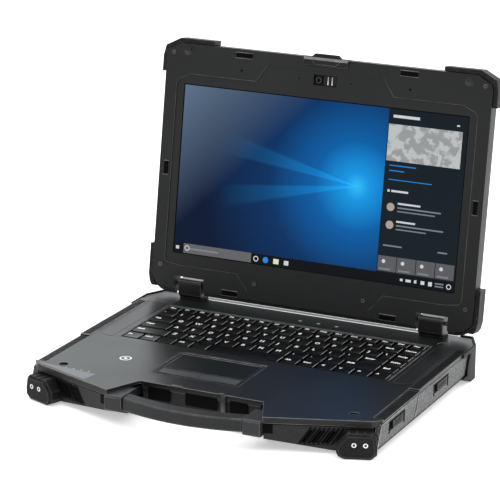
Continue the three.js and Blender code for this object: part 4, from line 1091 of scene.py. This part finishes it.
# slanted black strips over and round each speaker grille, painted shade standing for its slots
slotLook = {"first": 39, "step": 4.2, "count": 9, "width": 1.9, "length": 19, "lean": 0.6, "height": 17}
halfWidth, halfLength = slotLook["width"] / 2, slotLook["length"] / 2
slotShades = []
for side in (-1, 1):
    lean = -side * slotLook["lean"]
    for i in range(slotLook["count"]):
        slot = roundedBlock((-halfWidth, -halfLength, 0), (halfWidth, halfLength, 0.25), 0, 1, lean)
        along = side * (slotLook["first"] + slotLook["step"] * i)
        spot = Matrix.Translation((along * mm, 1.35 * mm, slotLook["height"] * mm))
        slot.data.transform(frontWall(side) @ spot @ facing)
        slotShades.append(slot)
finishPiece(joinPieces(slotShades, "slotShades"), "grilleSlotShades", "base", finishes["recess"])

bumperRib = {"first": 79, "step": 7, "halfWidth": 1.1, "out": (-11.4, -1.5), "height": (24.2, 24.9)}
bumperRibs = []
for side in (-1, 1):
    for i in range(3):
        along = side * (bumperRib["first"] + bumperRib["step"] * i)
        across = (along - bumperRib["halfWidth"], along + bumperRib["halfWidth"])
        low, high = zip(across, bumperRib["out"], bumperRib["height"])
        rib = roundedBlock(low, high, 0.25, 1)
        rib.data.transform(frontWall(side))
        bumperRibs.append(rib)
finishPiece(joinPieces(bumperRibs, "ribs"), "bumperRibs", "base", edges["rubber"])


# doors: raised black bars round each pull, a painted shadow of its recess, and ridges on the pull itself
doorTrim = {"proud": 0.35, "outer": 180.5, "ridges": 5, "firstRidge": 4, "ridgeStep": 3.6, "ridgeWidth": 1.4}
for side, sideName in ((-1, "left"), (1, "right")):
    for end in ("front", "rear"):
        low, high = (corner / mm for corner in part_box(f"{end}_door_pull_{sideName}"))
        face = doorTrim["outer"]
        x0, x1 = mirroredSpan(side, face - 0.2, face + doorTrim["proud"])
        bars = [((low.y - 10.8, high.z + 1), (high.y + 3, high.z + 2.4)),
                ((low.y - 10.8, low.z - 2.4), (low.y - 8.8, high.z + 2.4)),
                ((high.y + 0.6, low.z - 2.4), (high.y + 3, high.z + 2.4))]
        shadowBars = [roundedBlock((x0, y0, z0), (x1, y1, z1), 0.15, 1) for (y0, z0), (y1, z1) in bars]
        label = end.title() + sideName.title()
        doorBody, pullBody = f"door_{end}_{sideName}", f"pull_{end}_{sideName}"
        pullShadow = joinPieces(shadowBars, "bars")
        finishPiece(pullShadow, "pullShadow" + label, doorBody, finishes["recess"])
        easedPart(f"{end}_door_pull_{sideName}", "pull" + label, pullBody, 0.4,
                  finishes["pull"], edges["dark"])
        x0, x1 = mirroredSpan(side, face - 0.3, face + 0.3)
        ridges = []
        for i in range(doorTrim["ridges"]):
            y = low.y + doorTrim["firstRidge"] + doorTrim["ridgeStep"] * i
            ridgeEnd = (x1, y + doorTrim["ridgeWidth"], high.z - 1)
            ridges.append(roundedBlock((x0, y, low.z + 1), ridgeEnd, 0.2, 1))
        pullRidges = joinPieces(ridges, "ridges")
        finishPiece(pullRidges, "pullRidges" + label, pullBody, finishes["pull"])
dropPiece(screwMaster)

# sockets behind the rear doors: a metal shell round a black plate, painted shade in the opening
socketLook = {
    "face": 164.9, "foot": 11.4, "wallAcross": 1.6, "wallUp": 1.4,
    "spans": [(-9.2, 16.8, 20.4), (26.8, 42.8, 18.4), (52.8, 74.8, 20.4)],  # front, rear, top
}
shells, mouthShades = [], []
for side in (-1, 1):
    for y0, y1, top in socketLook["spans"]:
        x0, x1 = mirroredSpan(side, socketLook["face"], socketLook["face"] + 0.5)
        shells.append(roundedBlock((x0, y0, socketLook["foot"]), (x1, y1, top), 0.2))
        x0, x1 = mirroredSpan(side, socketLook["face"] + 0.4, socketLook["face"] + 0.6)
        wallAcross, wallUp = socketLook["wallAcross"], socketLook["wallUp"]
        mouthShades.append(roundedBlock((x0, y0 + wallAcross, socketLook["foot"] + wallUp),
                                   (x1, y1 - wallAcross, top - wallUp), 0))
finishPiece(joinPieces(shells, "shells"), "socketShells", "base", finishes["steel"])
finishPiece(joinPieces(mouthShades, "mouthShades"), "socketMouthShades", "base", finishes["recess"])
print("base trim made")


# setting: pale floor, soft light
stageLook = {
    "floor": 0.9, "glow": 0.45, "world": 0.6, "sun": 2.6, "sunSpread": 100, "lampColour": (0.9, 0.965, 1.0),
}
deselectAll()
bpy.ops.mesh.primitive_plane_add(size=12, location=(0, 0, 0))
floor = bpy.context.object
floor.name = "studioFloor"
floorMaterial, _, floorShader, _ = startMaterial("paleFloor")
floorShader.inputs["Base Color"].default_value = grey(stageLook["floor"])
floorShader.inputs["Roughness"].default_value = 0.85
floorShader.inputs["Specular IOR Level"].default_value = 0.1
floorShader.inputs["Emission Color"].default_value = (1, 1, 1, 1)
floorShader.inputs["Emission Strength"].default_value = stageLook["glow"]
floor.data.materials.append(floorMaterial)

world = bpy.data.worlds.new("studio")
world.use_nodes = True
background = world.node_tree.nodes["Background"]
background.inputs["Color"].default_value = (1, 1, 1, 1)
background.inputs["Strength"].default_value = stageLook["world"]
bpy.context.scene.world = world
bpy.context.scene.view_settings.view_transform = "Standard"

bpy.ops.object.light_add(type="SUN", location=(0, 0, 3))
sun = bpy.context.object
sun.name = "overheadSun"
sun.data.energy = stageLook["sun"]
sun.data.angle = radians(stageLook["sunSpread"])

lamps = {  # location, aim, size, power
    "backPanel": ((-1.5, 3.3, 1.0), (0, 0, 0.15), 2.6, 24),
    "rightFill": ((1.9, 0.5, 0.6), (0.1, 0, 0.03), 0.8, 5),
}
for name, (spot, aim, size, power) in lamps.items():
    bpy.ops.object.light_add(type="AREA", location=spot)
    lamp = bpy.context.object
    lamp.name = name
    lamp.data.size = size
    lamp.data.energy = power
    lamp.data.color = stageLook["lampColour"]
    lamp.rotation_euler = (Vector(aim) - Vector(spot)).to_track_quat("-Z", "Y").to_euler()

cameraLook = {
    "spot": (0.97066, -2.06455, 0.82308), "lens": 179.06, "sensor": 36,
    "right": (0.90227381, 0.43106961, 0.00899828), "upward": (-0.13186481, 0.25601686, 0.95763617),
}
bpy.ops.object.camera_add()
camera = bpy.context.object
camera.name = "viewCamera"
right, upward = Vector(cameraLook["right"]), Vector(cameraLook["upward"])
turn = Matrix((right, upward, right.cross(upward))).transposed().to_4x4()
camera.matrix_world = Matrix.Translation(cameraLook["spot"]) @ turn
camera.data.lens = cameraLook["lens"]
camera.data.sensor_width = cameraLook["sensor"]
camera.data.clip_end = 50
bpy.context.scene.camera = camera
